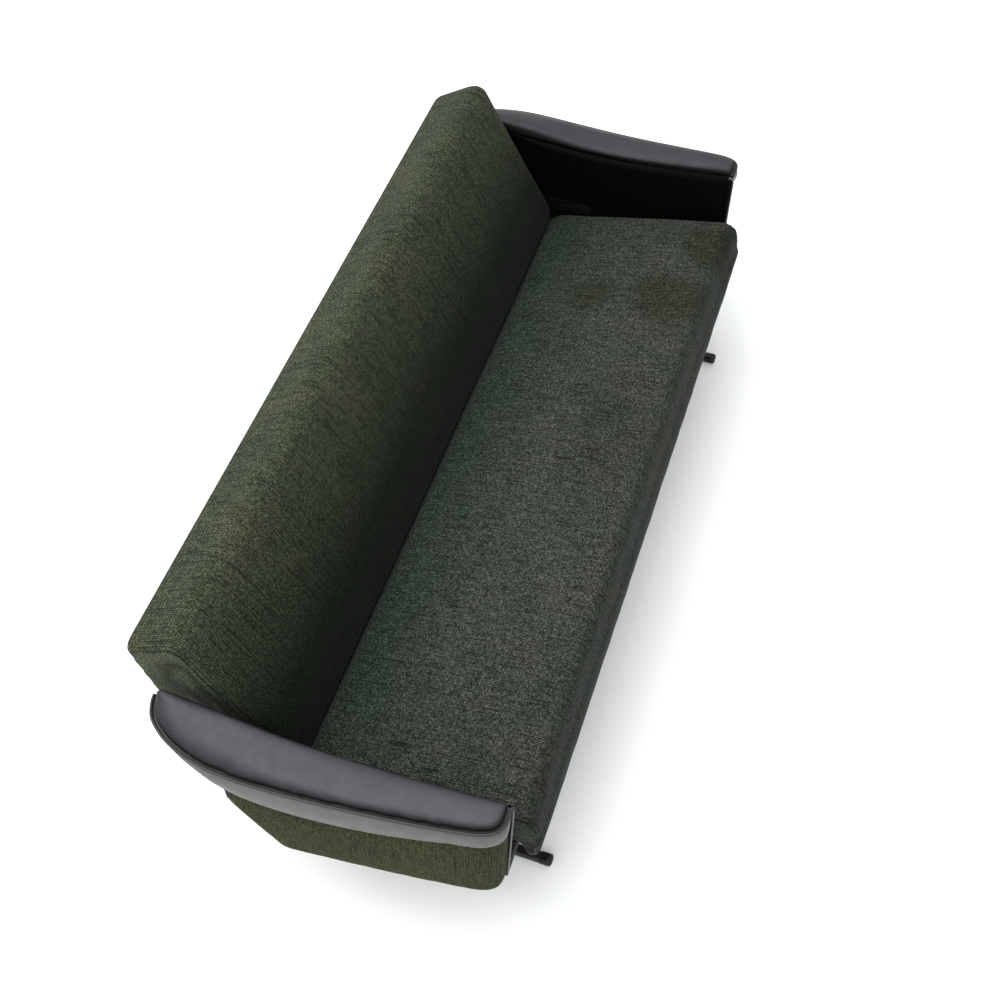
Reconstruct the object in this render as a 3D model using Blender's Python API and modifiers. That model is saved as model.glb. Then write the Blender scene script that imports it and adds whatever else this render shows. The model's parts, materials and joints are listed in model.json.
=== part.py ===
"""Click-clack sofa bed: upholstered seat and back panels between two padded arms, on steel trestles.

Metres, +Z up, the seat faces -Y and X runs along the sofa. The origin is on the floor under the middle
of the whole. Depths along the sofa's side are stated from the front faces of the arms, as FRONT_Y + d.
The seat and back panels are modelled lying flat, each under an empty on its own hinge axis, which then
tilts it into the sofa position.
"""

import math

import bmesh
import bpy
from mathutils import Matrix, Vector

# Overall placing.
FRONT_Y = -0.3852               # front faces of the arms
SIDES = {"left": -1, "right": 1}
GAP = 0.0003                    # clearance between touching solids

# The two panels and how they fold.
SEAT_SLOPE = math.radians(13.5)     # the seat falls to the rear by this much
BACK_LEAN = math.radians(28.6)      # the back leans from the vertical by this much
RECLINE = math.pi / 2 - BACK_LEAN + SEAT_SLOPE
SEAT_HINGE = (0.0245, 0.3155)       # depth and height of the seat's front hinge
SEAT_REACH = 0.4625                 # seat hinge to back hinge, along the seat
SEAT_RISE = 0.0848                  # the same, square to the seat
PIVOT_DEPTH = 0.040                 # back hinge below the upholstered faces
CUSHION_DEPTH = 0.120
RAIL_DEPTH = 0.034                  # thickness of both wooden frames
RAIL_WIDTH = 0.040
SEAT_HALF = 0.905                   # half lengths along X
SEAT_CUSHION_HALF = 0.9015
BACK_HALF = 0.900
BACK_CUSHION_HALF = 0.8975
SEAT_TOP = SEAT_RISE + PIVOT_DEPTH
BACK_LENGTH = 0.487                 # back hinge to the top of the back
WEB_GAP = 0.0055                    # room for the webbing behind the back cushion
MITRE = RECLINE / 2
CREASE_RADIUS = 0.90 * PIVOT_DEPTH / math.cos(MITRE) * math.tan(math.pi / 4 + MITRE / 2)

# Arms, with depth d from their front faces.
ARM_INNER = 0.930
ARM_DEPTH = 0.757
ARM_TOP = 0.574
ARM_DIP = 0.036                     # the arm's edge dips by this much along its length
ARM_DIP_SPAN = 0.90
ARM_FLOOR = 0.279                   # underside at the front
ARM_FLOOR_FALL = 0.090              # per metre of depth
ARM_HEEL = 0.456                    # where the underside turns up into the leaning rear edge
ARM_HEEL_RISE = 1.89
PANEL_END = 0.563
PIPING = 0.0035
TRIM = 0.0024
BAND_THICK = 0.014
FRONT_LAYER = 0.020                 # depth of the padding on the arm's front face

# Steel base.
TUBE = 0.025                        # cross tubes, square
FRONT_TUBE = (0.120, 0.2360)
REAR_TUBE = (0.440, 0.1540)
TUBE_HALF = 0.990
TRESTLE_X = 0.800
RUNNER = (0.025, 0.020)             # width and height of a floor runner
RUNNER_FRONT = -0.051
RUNNER_REAR = 0.725
BUFFER = 0.0085

# Fittings at the ends of the panels.
SEAT_PLATE_X = 0.9055
BACK_PLATE_X = 0.9100
GUIDE_PLATE_X = 0.9180
PLATE = 0.004
PIVOT_RADIUS = 0.004
GUIDE_RADIUS = 0.005
RUN_GAP = 0.0001
GUIDE = (0.0964, -0.0493)           # guide pin from the back hinge, with the back lying flat

COLOURS = {
    "weave_green": ((0.045, 0.055, 0.038), 0.95, 0.0),
    "weave_olive": ((0.085, 0.080, 0.035), 0.95, 0.0),
    "leatherette": ((0.030, 0.029, 0.034), 0.45, 0.0),
    "leatherette_black": ((0.010, 0.010, 0.012), 0.5, 0.0),
    "piping": ((0.020, 0.019, 0.022), 0.45, 0.0),
    "trim": ((0.30, 0.31, 0.32), 0.5, 0.0),
    "beech": ((0.52, 0.36, 0.20), 0.6, 0.0),
    "black_steel": ((0.012, 0.012, 0.013), 0.4, 0.6),
    "zinc_steel": ((0.55, 0.56, 0.57), 0.35, 1.0),
    "webbing": ((0.16, 0.10, 0.055), 0.9, 0.0),
    "dust_cloth": ((0.020, 0.020, 0.020), 0.95, 0.0),
    "black_rubber": ((0.015, 0.015, 0.015), 0.8, 0.0),
}


# ---------------------------------------------------------------- scene and materials

def clear_scene():
    for obj in list(bpy.data.objects):
        bpy.data.objects.remove(obj, do_unlink=True)


def make_collection(name):
    collection = bpy.data.collections.new(name)
    bpy.context.scene.collection.children.link(collection)
    return collection


def make_material(node, finish):
    colour, roughness, metallic = COLOURS[finish]
    material = bpy.data.materials.new(node + "_" + finish)
    material.use_nodes = True
    shader = material.node_tree.nodes["Principled BSDF"]
    shader.inputs["Base Color"].default_value = (*colour, 1.0)
    shader.inputs["Roughness"].default_value = roughness
    shader.inputs["Metallic"].default_value = metallic
    return material


def add_empty(name, location, tilt):
    """An axis along X for everything that turns with it."""
    empty = bpy.data.objects.new(name, None)
    empty.location = location
    empty.rotation_euler = (tilt, 0.0, 0.0)
    PARTS.objects.link(empty)
    return empty


def add_object(name, data, finish, parent=None):
    obj = bpy.data.objects.new(name, data)
    PARTS.objects.link(obj)
    obj.data.materials.append(make_material(name, finish))
    obj.parent = parent
    return obj


def depth_y(d):
    return FRONT_Y + d


# ---------------------------------------------------------------- shapes

def mesh_from(name, bm):
    bmesh.ops.recalc_face_normals(bm, faces=bm.faces)
    mesh = bpy.data.meshes.new(name)
    bm.to_mesh(mesh)
    bm.free()
    return mesh


def add_box(name, size, centre, finish, parent=None, bevel=0.0, segments=1):
    bm = bmesh.new()
    bmesh.ops.create_cube(bm, size=1.0, matrix=Matrix.Translation(centre) @ Matrix.Diagonal((*size, 1.0)))
    obj = add_object(name, mesh_from(name, bm), finish, parent)
    if bevel:
        add_bevel(obj, bevel, segments)
    return obj


def add_bevel(obj, width, segments):
    bevel = obj.modifiers.new("round_edges", "BEVEL")
    bevel.width = width
    bevel.segments = segments
    bevel.limit_method = "ANGLE"
    bevel.angle_limit = math.radians(40)


def add_tool(owner, mesh, operation):
    """A hidden helper solid that the owner is cut by or joined with."""
    tool = bpy.data.objects.new(owner.name + "_tool", mesh)
    CUTTERS.objects.link(tool)
    tool.parent = owner.parent
    tool.hide_render = True
    tool.display_type = "WIRE"
    boolean = owner.modifiers.new(operation.lower(), "BOOLEAN")
    boolean.operation = operation
    boolean.solver = "EXACT"
    boolean.object = tool


def box_mesh(size, centre):
    bm = bmesh.new()
    bmesh.ops.create_cube(bm, size=1.0, matrix=Matrix.Translation(centre) @ Matrix.Diagonal((*size, 1.0)))
    return mesh_from("box", bm)


def rod_mesh(radius, x0, x1, y, z, sides=16):
    """A solid cylinder along X."""
    bm = bmesh.new()
    place = Matrix.Translation(((x0 + x1) / 2, y, z)) @ Matrix.Rotation(math.pi / 2, 4, "Y")
    bmesh.ops.create_cone(bm, cap_ends=True, segments=sides, radius1=radius, radius2=radius,
                          depth=abs(x1 - x0), matrix=place)
    return mesh_from("rod", bm)


def smooth(obj, angle=35):
    obj.data.shade_smooth()
    obj.data.set_sharp_from_angle(angle=math.radians(angle))


def fillet(corners, steps=5):
    """A closed outline from (u, v, radius) corners, with each radius drawn as an arc."""
    outline = []
    count = len(corners)
    for i, (u, v, radius) in enumerate(corners):
        here = Vector((u, v))
        if radius <= 0:
            outline.append(here)
            continue
        before = (Vector(corners[i - 1][:2]) - here).normalized()
        after = (Vector(corners[(i + 1) % count][:2]) - here).normalized()
        half = before.angle(after) / 2
        centre = here + (before + after).normalized() * radius / math.sin(half)
        start = here + before * radius / math.tan(half) - centre
        turn = start.angle_signed(here + after * radius / math.tan(half) - centre)
        for k in range(steps + 1):
            spoke = start.copy()
            spoke.rotate(Matrix.Rotation(-turn * k / steps, 2))
            outline.append(centre + spoke)
    return [(p.x, p.y) for p in outline]


def circle(u, v, radius, sides=20, start=0.0):
    angles = [start + 2 * math.pi * k / sides for k in range(sides)]
    return [(u + radius * math.cos(a), v + radius * math.sin(a)) for a in angles]


def rectangle(u, v, half_u, half_v):
    return [(u + a * half_u, v + b * half_v) for a, b in ((-1, -1), (1, -1), (1, 1), (-1, 1))]


def flat_curve(name, outlines, half_depth, rounding=0.0, resolution=2):
    curve = bpy.data.curves.new(name, "CURVE")
    curve.dimensions = "2D"
    curve.fill_mode = "BOTH"
    curve.extrude = half_depth - rounding
    curve.bevel_depth = rounding
    curve.bevel_resolution = resolution
    curve.offset = -rounding
    for outline in outlines:
        spline = curve.splines.new("POLY")
        spline.points.add(len(outline) - 1)
        for point, (u, v) in zip(spline.points, outline):
            point.co = (u, v, 0.0, 1.0)
        spline.use_cyclic_u = True
    return curve


def add_plate(name, outlines, x0, x1, finish, parent=None, rounding=0.0, resolution=2):
    """A flat outline in the side view (y, z), with holes, filling x0 to x1."""
    curve = flat_curve(name, outlines, abs(x1 - x0) / 2, rounding, resolution)
    obj = add_object(name, curve, finish, parent)
    obj.location = ((x0 + x1) / 2, 0.0, 0.0)
    obj.rotation_euler = (math.pi / 2, 0.0, math.pi / 2)
    return obj


def add_mesh_plate(name, outlines, x0, x1, finish, parent=None):
    """The same as add_plate, as a mesh in its parent's frame, ready for a Boolean."""
    curve = add_plate(name + "_outline", outlines, x0, x1, finish)
    bpy.context.view_layer.update()
    mesh = bpy.data.meshes.new_from_object(curve.evaluated_get(bpy.context.evaluated_depsgraph_get()))
    mesh.transform(curve.matrix_world)
    bpy.data.objects.remove(curve, do_unlink=True)
    bm = bmesh.new()
    bm.from_mesh(mesh)
    bpy.data.meshes.remove(mesh)
    bmesh.ops.remove_doubles(bm, verts=bm.verts, dist=0.00001)
    return add_object(name, mesh_from(name, bm), finish, parent)


def add_loft(name, rings, finish, parent=None):
    """A closed skin over rings of equal count, with the first and last ring capped."""
    bm = bmesh.new()
    rows = [[bm.verts.new(p) for p in ring] for ring in rings]
    count = len(rows[0])
    for a, b in zip(rows, rows[1:]):
        for k in range(count):
            n = (k + 1) % count
            bm.faces.new((a[k], a[n], b[n], b[k]))
    bm.faces.new(rows[0])
    bm.faces.new(rows[-1])
    obj = add_object(name, mesh_from(name, bm), finish, parent)
    smooth(obj)
    return obj


def add_tube(name, path, radius, finish, parent=None):
    """A round bar along a path."""
    curve = bpy.data.curves.new(name, "CURVE")
    curve.dimensions = "3D"
    curve.bevel_depth = radius
    curve.bevel_resolution = 1
    curve.use_fill_caps = True
    spline = curve.splines.new("POLY")
    spline.points.add(len(path) - 1)
    for point, place in zip(spline.points, path):
        point.co = (*place, 1.0)
    return add_object(name, curve, finish, parent)


def leg_rings(low, high, width, depth, x):
    """A leaning square tube whose ends are cut level; low and high are (depth, height)."""
    corners = ((-1, -1), (1, -1), (1, 1), (-1, 1))
    return [[(x + a * width / 2, depth_y(d) + b * depth / 2, z) for a, b in corners] for d, z in (low, high)]


def smooth_line(points, per_span):
    """A Catmull-Rom line through the points."""
    line = []
    last = len(points) - 1
    for i in range(last):
        p = [Vector(points[min(max(i + k, 0), last)]) for k in (-1, 0, 1, 2)]
        for step in range(per_span):
            t = step / per_span
            line.append(0.5 * (2 * p[1] + (p[2] - p[0]) * t
                               + (2 * p[0] - 5 * p[1] + 4 * p[2] - p[3]) * t * t
                               + (3 * p[1] - 3 * p[2] + p[3] - p[0]) * t ** 3))
    line.append(Vector(points[-1]))
    return line


def ease(value, low, high):
    t = min(max((value - low) / (high - low), 0.0), 1.0)
    return t * t * (3 - 2 * t)


# ---------------------------------------------------------------- seat panel

def seat_outline():
    """Seat cushion in side view, lying flat: a front lip that hangs before the rail, a soft rear end."""
    under = SEAT_TOP - CUSHION_DEPTH
    rear = SEAT_REACH - 0.0015
    return fillet([
        (rear, under, 0.012), (rear, SEAT_RISE, 0.0),
        (SEAT_REACH - PIVOT_DEPTH * math.tan(MITRE) - 0.004, SEAT_TOP, CREASE_RADIUS),
        (-0.0850, SEAT_TOP, 0.045), (-0.0640, -0.0300, 0.012),
        (-0.0290, -0.0330, 0.012), (-0.0375, under, 0.004),
    ])


def build_frame(prefix, hinge, half, front, rear, top):
    """Four wooden rails: front or bottom, rear or top, and one at each end."""
    near, far = ("front", "rear") if prefix == "seat" else ("bottom", "top")
    middle = top - RAIL_DEPTH / 2
    for name, edge in ((near, front + RAIL_WIDTH / 2), (far, rear - RAIL_WIDTH / 2)):
        add_box(prefix + "_frame_" + name, (2 * half, RAIL_WIDTH, RAIL_DEPTH), (0, edge, middle),
                "beech", hinge, 0.003)
    length = rear - front - 2 * RAIL_WIDTH - 2 * GAP
    for side, sign in SIDES.items():
        add_box(prefix + "_frame_" + side, (RAIL_WIDTH, length, RAIL_DEPTH),
                (sign * (half - RAIL_WIDTH / 2), (front + rear) / 2, middle), "beech", hinge, 0.003)


def build_webbing(name, hinge, half, front, rear, low):
    """Interlaced webbing as one sheet with a square hole between each pair of crossing straps."""
    across, along, strap, thick = 13, 4, 0.050, 0.0020
    step_x, step_y = 2 * half / across, (rear - front) / along
    hole_x, hole_y = (step_x - strap) / 2, (step_y - strap) / 2
    outlines = [rectangle(0.0, (front + rear) / 2, half, (rear - front) / 2)]
    for i in range(across):
        for k in range(along):
            outlines.append(rectangle(-half + step_x * (i + 0.5), front + step_y * (k + 0.5), hole_x, hole_y))
    sheet = flat_curve(name, outlines, thick / 2)
    obj = add_object(name, sheet, "webbing", hinge)
    obj.location = (0, 0, low + thick / 2)


def build_seat(hinge):
    under = SEAT_TOP - CUSHION_DEPTH
    top = under - WEB_GAP
    low = top - RAIL_DEPTH
    front, rear = 0.0095, SEAT_REACH - 0.0035
    add_plate("seat_cushion", [seat_outline()], -SEAT_CUSHION_HALF, SEAT_CUSHION_HALF,
              "weave_green", hinge, rounding=0.010, resolution=2)
    build_frame("seat", hinge, SEAT_HALF, front, rear, top)
    build_webbing("seat_webbing", hinge, 0.880, front + 0.027, rear - 0.010, top + GAP)
    add_box("seat_dust_cover", (2 * SEAT_HALF - 0.010, rear - front - 0.006, 0.0012),
            (0, (front + rear) / 2, low - 0.0010), "dust_cloth", hinge)
    add_box("seat_stop_strip", (1.200, 0.020, BUFFER), (0, SEAT_REACH - 0.0275, low - 0.0020 - BUFFER / 2),
            "black_rubber", hinge, 0.002)


def strap_outline(start, end, leaf):
    """A hinge leaf in side view: an eye round the pin, between two angles in degrees, and its leaf."""
    eye, steps = 0.0034, 14
    angles = [math.radians(start + (end - start) * k / steps) for k in range(steps + 1)]
    return [(eye * math.cos(a), eye * math.sin(a)) for a in angles] + leaf


def build_hinges(hinge):
    """Two strap hinges: a leaf down the rail with the middle knuckle, a leaf on the seat frame, and a pin."""
    hole = circle(0, 0, 0.0017, 12)
    wide, knuckle, slack = 0.040, 0.0150, 0.0005
    at = (depth_y(SEAT_HINGE[0]), SEAT_HINGE[1])
    flat = strap_outline(17, 353, [(0.0340, -0.0004), (0.0340, 0.0010)])
    hanging = strap_outline(228, 535, [
        (-0.0045, -0.0042), (-0.0045, -0.030), (-0.0031, -0.030), (-0.0031, -0.0046),
    ])
    for side, sign in SIDES.items():
        x = sign * 0.55
        ends = (x - wide, x + wide)
        moving = add_mesh_plate("seat_hinge_leaf_" + side, [flat, hole], *ends, "zinc_steel", hinge)
        add_tool(moving, box_mesh((2 * (knuckle + slack), 0.010, 0.0086), (x, 0, 0)), "DIFFERENCE")
        fixed = add_mesh_plate("rail_hinge_leaf_" + side, [hanging, hole], *ends, "zinc_steel")
        fixed.location = (0, *at)
        for end in (-1, 1):
            size = wide - knuckle + slack
            tool = box_mesh((size, 0.010, 0.0086), (x + end * (knuckle + size / 2), *at))
            add_tool(fixed, tool, "DIFFERENCE")
        rod = rod_mesh(0.0016, x - 0.041, x + 0.041, *at, 12)
        pin = add_object("seat_hinge_pin_" + side, rod, "zinc_steel")
        smooth(pin)


def build_seat_plates(hinge):
    """Steel plates on the seat frame's ends, reaching up to the back hinge, and the rivets they turn on."""
    eye = (SEAT_REACH, SEAT_RISE)
    outline = fillet([
        (eye[0] - 0.013, eye[1] + 0.013, 0.012), (eye[0] + 0.013, eye[1] + 0.013, 0.012),
        (eye[0] + 0.013, eye[1] - 0.020, 0.010), (eye[0] - 0.010, -0.028, 0.008),
        (eye[0] - 0.130, -0.028, 0.008), (eye[0] - 0.130, -0.005, 0.008),
    ])
    hole = circle(*eye, PIVOT_RADIUS + RUN_GAP)
    for side, sign in SIDES.items():
        add_plate("seat_hinge_plate_" + side, [outline, hole], sign * SEAT_PLATE_X,
                  sign * (SEAT_PLATE_X + PLATE), "black_steel", hinge)
        outer = BACK_PLATE_X + PLATE
        add_pin("back_hinge_rivet_" + side, [
            (sign * (SEAT_PLATE_X - 0.0028), 0.0070), (sign * (SEAT_PLATE_X - GAP), 0.0070),
            (sign * (SEAT_PLATE_X - GAP), PIVOT_RADIUS), (sign * (outer + GAP), PIVOT_RADIUS),
            (sign * (outer + GAP), 0.0070), (sign * (outer + 0.0028), 0.0070)], "zinc_steel", hinge, *eye)


def add_pin(name, profile, finish, parent, y, z):
    """A headed pin along X, turned from a profile of (x, radius) steps."""
    steps = profile[::-1] if profile[0][0] < profile[-1][0] else profile
    points = [(0.0, steps[0][0])] + [(r, x) for x, r in steps] + [(0.0, steps[-1][0])]
    bm = bmesh.new()
    verts = [bm.verts.new((r, 0.0, x)) for r, x in points]
    for a, b in zip(verts, verts[1:]):
        bm.edges.new((a, b))
    mesh = bpy.data.meshes.new(name)
    bm.to_mesh(mesh)
    bm.free()
    obj = add_object(name, mesh, finish, parent)
    obj.location = (0.0, y, z)
    obj.rotation_euler = (0.0, math.pi / 2, 0.0)
    screw = obj.modifiers.new("turn", "SCREW")
    screw.steps = 20
    screw.render_steps = 20
    screw.use_merge_vertices = True
    screw.merge_threshold = 0.0001
    return obj


# ---------------------------------------------------------------- back panel

def back_outline():
    """Back cushion in side view, lying flat: a soft lower end and a top lip that wraps over the frame."""
    under = PIVOT_DEPTH - CUSHION_DEPTH
    lip = BACK_LENGTH - 0.040
    return fillet([
        (0.0015, under, 0.012), (lip, under, 0.004), (lip, under - 0.038, 0.011),
        (BACK_LENGTH - 0.014, under - 0.041, 0.013), (BACK_LENGTH - 0.001, PIVOT_DEPTH, 0.040),
        (PIVOT_DEPTH * math.tan(MITRE) + 0.004, PIVOT_DEPTH, CREASE_RADIUS),
        (0.0015, 0.0, 0.0),
    ])


def rear_cover_outline(top):
    """The padded cover behind the back frame, fullest above its middle."""
    edge = top - 0.0075
    return fillet([
        (0.006, top, 0.0032), (0.006, edge, 0.0035), (0.120, top - 0.030, 0.12),
        (0.340, top - 0.036, 0.10), (BACK_LENGTH - 0.044, edge - 0.002, 0.006),
        (BACK_LENGTH - 0.044, top, 0.0032),
    ])


def build_back(hinge):
    top = PIVOT_DEPTH - CUSHION_DEPTH - WEB_GAP
    low = top - RAIL_DEPTH
    front, rear = 0.0050, BACK_LENGTH - 0.0410
    add_plate("back_cushion", [back_outline()], -BACK_CUSHION_HALF, BACK_CUSHION_HALF,
              "weave_green", hinge, rounding=0.010, resolution=2)
    build_frame("back", hinge, BACK_HALF - 0.006, front, rear, top)
    build_webbing("back_webbing", hinge, 0.870, front + 0.010, rear - 0.010, top + GAP)
    add_plate("back_rear_cover", [rear_cover_outline(low - 0.0005)], -BACK_CUSHION_HALF + 0.002,
              BACK_CUSHION_HALF - 0.002, "weave_green", hinge, rounding=0.003, resolution=1)


def build_back_plates(hinge):
    """Steel plates on the back frame's ends, each with a welded pad, and the guide pins riveted to them."""
    top = PIVOT_DEPTH - CUSHION_DEPTH - WEB_GAP
    low = top - RAIL_DEPTH
    outline = fillet([
        (-0.013, -0.013, 0.012), (-0.013, 0.013, 0.012), (0.013, 0.013, 0.012),
        (GUIDE[0] + 0.016, GUIDE[1] + 0.016, 0.012), (0.190, top - 0.006, 0.008),
        (0.190, low + 0.006, 0.008), (0.050, low + 0.006, 0.008),
    ])
    hole = circle(0, 0, PIVOT_RADIUS + RUN_GAP)
    pad_in, pad_out = BACK_HALF - 0.006 + GAP, BACK_PLATE_X + PLATE / 2
    for side, sign in SIDES.items():
        inner, outer = sign * BACK_PLATE_X, sign * (BACK_PLATE_X + PLATE)
        plate = add_mesh_plate("back_hinge_plate_" + side, [outline, hole], inner, outer,
                               "black_steel", hinge)
        middle = (sign * (pad_in + pad_out) / 2, 0.120, top - RAIL_DEPTH / 2)
        pad = box_mesh((pad_out - pad_in, 0.120, 0.018), middle)
        add_tool(plate, pad, "UNION")
        add_pin("back_guide_pin_" + side, [
            (outer + sign * GAP, 0.0075), (outer + sign * 0.0032, 0.0075),
            (outer + sign * 0.0032, GUIDE_RADIUS),
            (sign * (GUIDE_PLATE_X + PLATE + 0.0006), GUIDE_RADIUS),
            (sign * (GUIDE_PLATE_X + PLATE + 0.0006), 0.0085),
            (sign * (GUIDE_PLATE_X + PLATE + 0.0034), 0.0085)], "zinc_steel", hinge, *GUIDE)


# ---------------------------------------------------------------- arms

def arm_edge(d):
    """Height of the arm's upper edge."""
    return ARM_TOP - ARM_DIP * math.sin(math.pi * d / ARM_DIP_SPAN)


def arm_path(per_span):
    """Plan of the arm's upper edge as (x, d): across the front, along the bowed side, round the rear tip."""
    return smooth_line([
        (ARM_INNER, 0.000), (0.955, 0.000), (0.980, 0.003), (0.998, 0.020), (1.010, 0.060), (1.023, 0.180),
        (1.034, 0.320), (1.043, 0.460), (1.044, 0.560), (1.036, 0.630), (1.016, 0.690), (0.985, 0.735),
        (0.955, 0.752), (ARM_INNER, ARM_DEPTH),
    ], per_span)


def outward(path, i):
    """Unit normal of the plan path, pointing out of the arm."""
    along = (path[min(i + 1, len(path) - 1)] - path[max(i - 1, 0)]).normalized()
    return Vector((along.y, -along.x)) if along.length else Vector((1, 0))


def band_height(x, d):
    """Height of the side band: low at the inner front corner, full along the side, low at the tip."""
    full = 0.060 + 0.030 * math.sin(math.pi * min(max((d - 0.10) / 0.52, 0.0), 1.0))
    full += (0.012 - full) * ease(d, 0.52, 0.72)
    return full if d > 0.10 else 0.012 + (full - 0.012) * ease(x, ARM_INNER, 0.992)


def arm_under(d):
    """Underside of the arm, rising steeply behind the heel."""
    return ARM_FLOOR - ARM_FLOOR_FALL * d + max(d - ARM_HEEL, 0.0) * ARM_HEEL_RISE


def strip_rings(path, sign, section):
    """Rings along the plan path. section(x, d) gives (outward offset, height) points."""
    rings = []
    for i, point in enumerate(path):
        normal = outward(path, i)
        ring = []
        for offset, height in section(point.x, point.y):
            place = point + normal * offset
            ring.append((sign * max(place.x, ARM_INNER), depth_y(place.y), height))
        rings.append(ring)
    return rings


def band_section(x, d):
    top = arm_edge(d) - PIPING - 0.0010
    low = arm_edge(d) - band_height(x, d)
    bulge = 0.007 * min(1.0, (top - low) / 0.05)
    return [(-BAND_THICK, top), (0.0, top), (bulge * 0.8, top - (top - low) * 0.25),
            (bulge, top - (top - low) * 0.55), (bulge * 0.7, top - (top - low) * 0.85),
            (0.0, low), (-BAND_THICK, low)]


def panel_section(x, d):
    top = arm_edge(d) - band_height(x, d) - 0.0015
    low = arm_under(d)
    return [(-0.0140, top), (-0.0035, top), (-0.0010, top - (top - low) * 0.3),
            (-0.0020, top - (top - low) * 0.7), (-0.0040, low), (-0.0160, low)]


def arm_width(d, inset):
    """How far out the plan outline, drawn in by inset, reaches at depth d."""
    path = arm_path(4)
    drawn = [p - outward(path, i) * inset for i, p in enumerate(path)]
    side = [p for p in drawn if p.x > 0.97 or p.y > 0.5]
    for a, b in zip(side, side[1:]):
        if a.y <= d <= b.y:
            return a.x + (b.x - a.x) * (d - a.y) / (b.y - a.y)
    return side[0].x if d < side[0].y else side[-1].x


def build_arm_core(side, sign):
    """The padded wooden core, from the front padding to behind the outer panel."""
    rings = []
    inner = ARM_INNER + 0.0065
    for k in range(13):
        d = FRONT_LAYER + GAP + (0.700 - FRONT_LAYER) * k / 12
        outer = arm_width(d, 0.0185) - 0.0100 * ease(d, 0.60, 0.70)
        top = arm_edge(d) - PIPING - 0.0085
        low = min(arm_under(d) + 0.001, arm_edge(d) - 0.040)
        section = [(inner, low), (outer, low), (outer, top), (inner, top)]
        rings.append([(sign * x, depth_y(d), z) for x, z in section])
    add_loft("arm_core_" + side, rings, "beech")


def build_arm_inner(side, sign):
    """Leatherette lining of the inner face, turned round onto the front above the front rail."""
    x0, x1, turned = sign * ARM_INNER, sign * (ARM_INNER + 0.006), sign * 0.9565
    rings = []
    for z, rear in ((0.3165, 0.520), (0.400, 0.552), (0.470, 0.582), (0.5345, 0.640)):
        rings.append([(x0, depth_y(0), z), (turned, depth_y(0), z), (turned, depth_y(FRONT_LAYER - GAP), z),
                      (x1, depth_y(FRONT_LAYER - GAP), z), (x1, depth_y(rear), z), (x0, depth_y(rear), z)])
    add_loft("arm_inner_lining_" + side, rings, "leatherette_black")


def build_arm_pad(side, sign):
    """The crowned top pad: cross-sections along the arm, lowered and narrowed towards both ends."""
    inset, low, shoulder, crown, stations = 0.0050, -0.0022, 0.0035, 0.0160, 22
    rings = []
    for k in range(stations + 1):
        share = 0.5 - 0.5 * math.cos(math.pi * k / stations)
        d = inset + 0.0003 + (ARM_DEPTH - 2 * inset - 0.0006) * share
        inner = ARM_INNER + 0.0005
        width = max(arm_width(d, inset) - inner, 0.004)
        end = min(1.0, d / 0.030, (ARM_DEPTH - d) / 0.060)
        rise = crown * math.sqrt(1 - (1 - end) ** 2) * min(1.0, width / 0.060)
        section = [(0.0, low), (1.0, low), (1.0, shoulder)]
        for t in (0.93, 0.80, 0.62, 0.40, 0.20, 0.07):
            section.append((t, shoulder + rise * (1 - abs(2 * t - 1) ** 3)))
        section += [(0.0, shoulder)]
        rings.append([(sign * (inner + t * width), depth_y(d), arm_edge(d) + z) for t, z in section])
    add_loft("arm_pad_" + side, rings, "leatherette")


def build_arm(side, sign):
    path = arm_path(3)
    add_loft("arm_band_" + side, strip_rings(path, sign, band_section), "leatherette")
    panel = [p for p in path if p.y < PANEL_END and (p.x > 0.9575 or p.y > 0.1)]
    add_loft("arm_outer_panel_" + side, strip_rings(panel, sign, panel_section), "weave_olive")
    build_arm_core(side, sign)
    build_arm_inner(side, sign)
    build_arm_pad(side, sign)
    piping = [(sign * max(p.x, ARM_INNER + PIPING), depth_y(p.y), arm_edge(p.y)) for p in path[1:-1]]
    add_tube("arm_piping_" + side, piping, PIPING * 0.94, "piping")
    front = depth_y(-TRIM - GAP)
    slant = [(sign * 0.9600, front, 0.288), (sign * 0.9385, front, 0.535)]
    add_tube("arm_front_trim_" + side, slant, TRIM, "trim")


# ---------------------------------------------------------------- base

def build_rails():
    add_box("front_rail", (2 * 0.9560, FRONT_LAYER - 2 * GAP, 0.0305), (0, depth_y(FRONT_LAYER / 2), 0.30025),
            "weave_green", bevel=0.003)
    for name, (d, z) in (("front_cross_tube", FRONT_TUBE), ("rear_cross_tube", REAR_TUBE)):
        add_box(name, (2 * TUBE_HALF, TUBE, TUBE), (0, depth_y(d), z), "black_steel", bevel=0.003, segments=2)


def build_trestle(side, sign):
    """A floor runner, two leaning legs up to the cross tubes, and a stay between those."""
    x = sign * TRESTLE_X
    width, height = RUNNER
    top = height + GAP
    add_box("floor_runner_" + side, (width, RUNNER_REAR - RUNNER_FRONT, height),
            (x, depth_y((RUNNER_FRONT + RUNNER_REAR) / 2), height / 2), "black_steel", None, 0.006, 3)
    for name, foot, (d, z) in (("front_leg_", 0.065, FRONT_TUBE), ("rear_leg_", 0.560, REAR_TUBE)):
        rings = leg_rings((foot, top), (d, z - TUBE / 2 - GAP), width, 0.022, x)
        leg = add_loft(name + side, rings, "black_steel")
        add_bevel(leg, 0.003, 2)
    stay = add_loft("trestle_stay_" + side, stay_rings(x), "black_steel")
    add_bevel(stay, 0.0025, 2)


def stay_rings(x):
    """A bar from the front cross tube down to the rear one, its ends cut upright."""
    rings = []
    half = 0.010
    for (d, z), end in ((FRONT_TUBE, 1), (REAR_TUBE, -1)):
        y = depth_y(d) + end * (TUBE / 2 + GAP)
        rings.append([(x + a * half, y, z + b * half) for a, b in ((-1, -1), (1, -1), (1, 1), (-1, 1))])
    return rings


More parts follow.
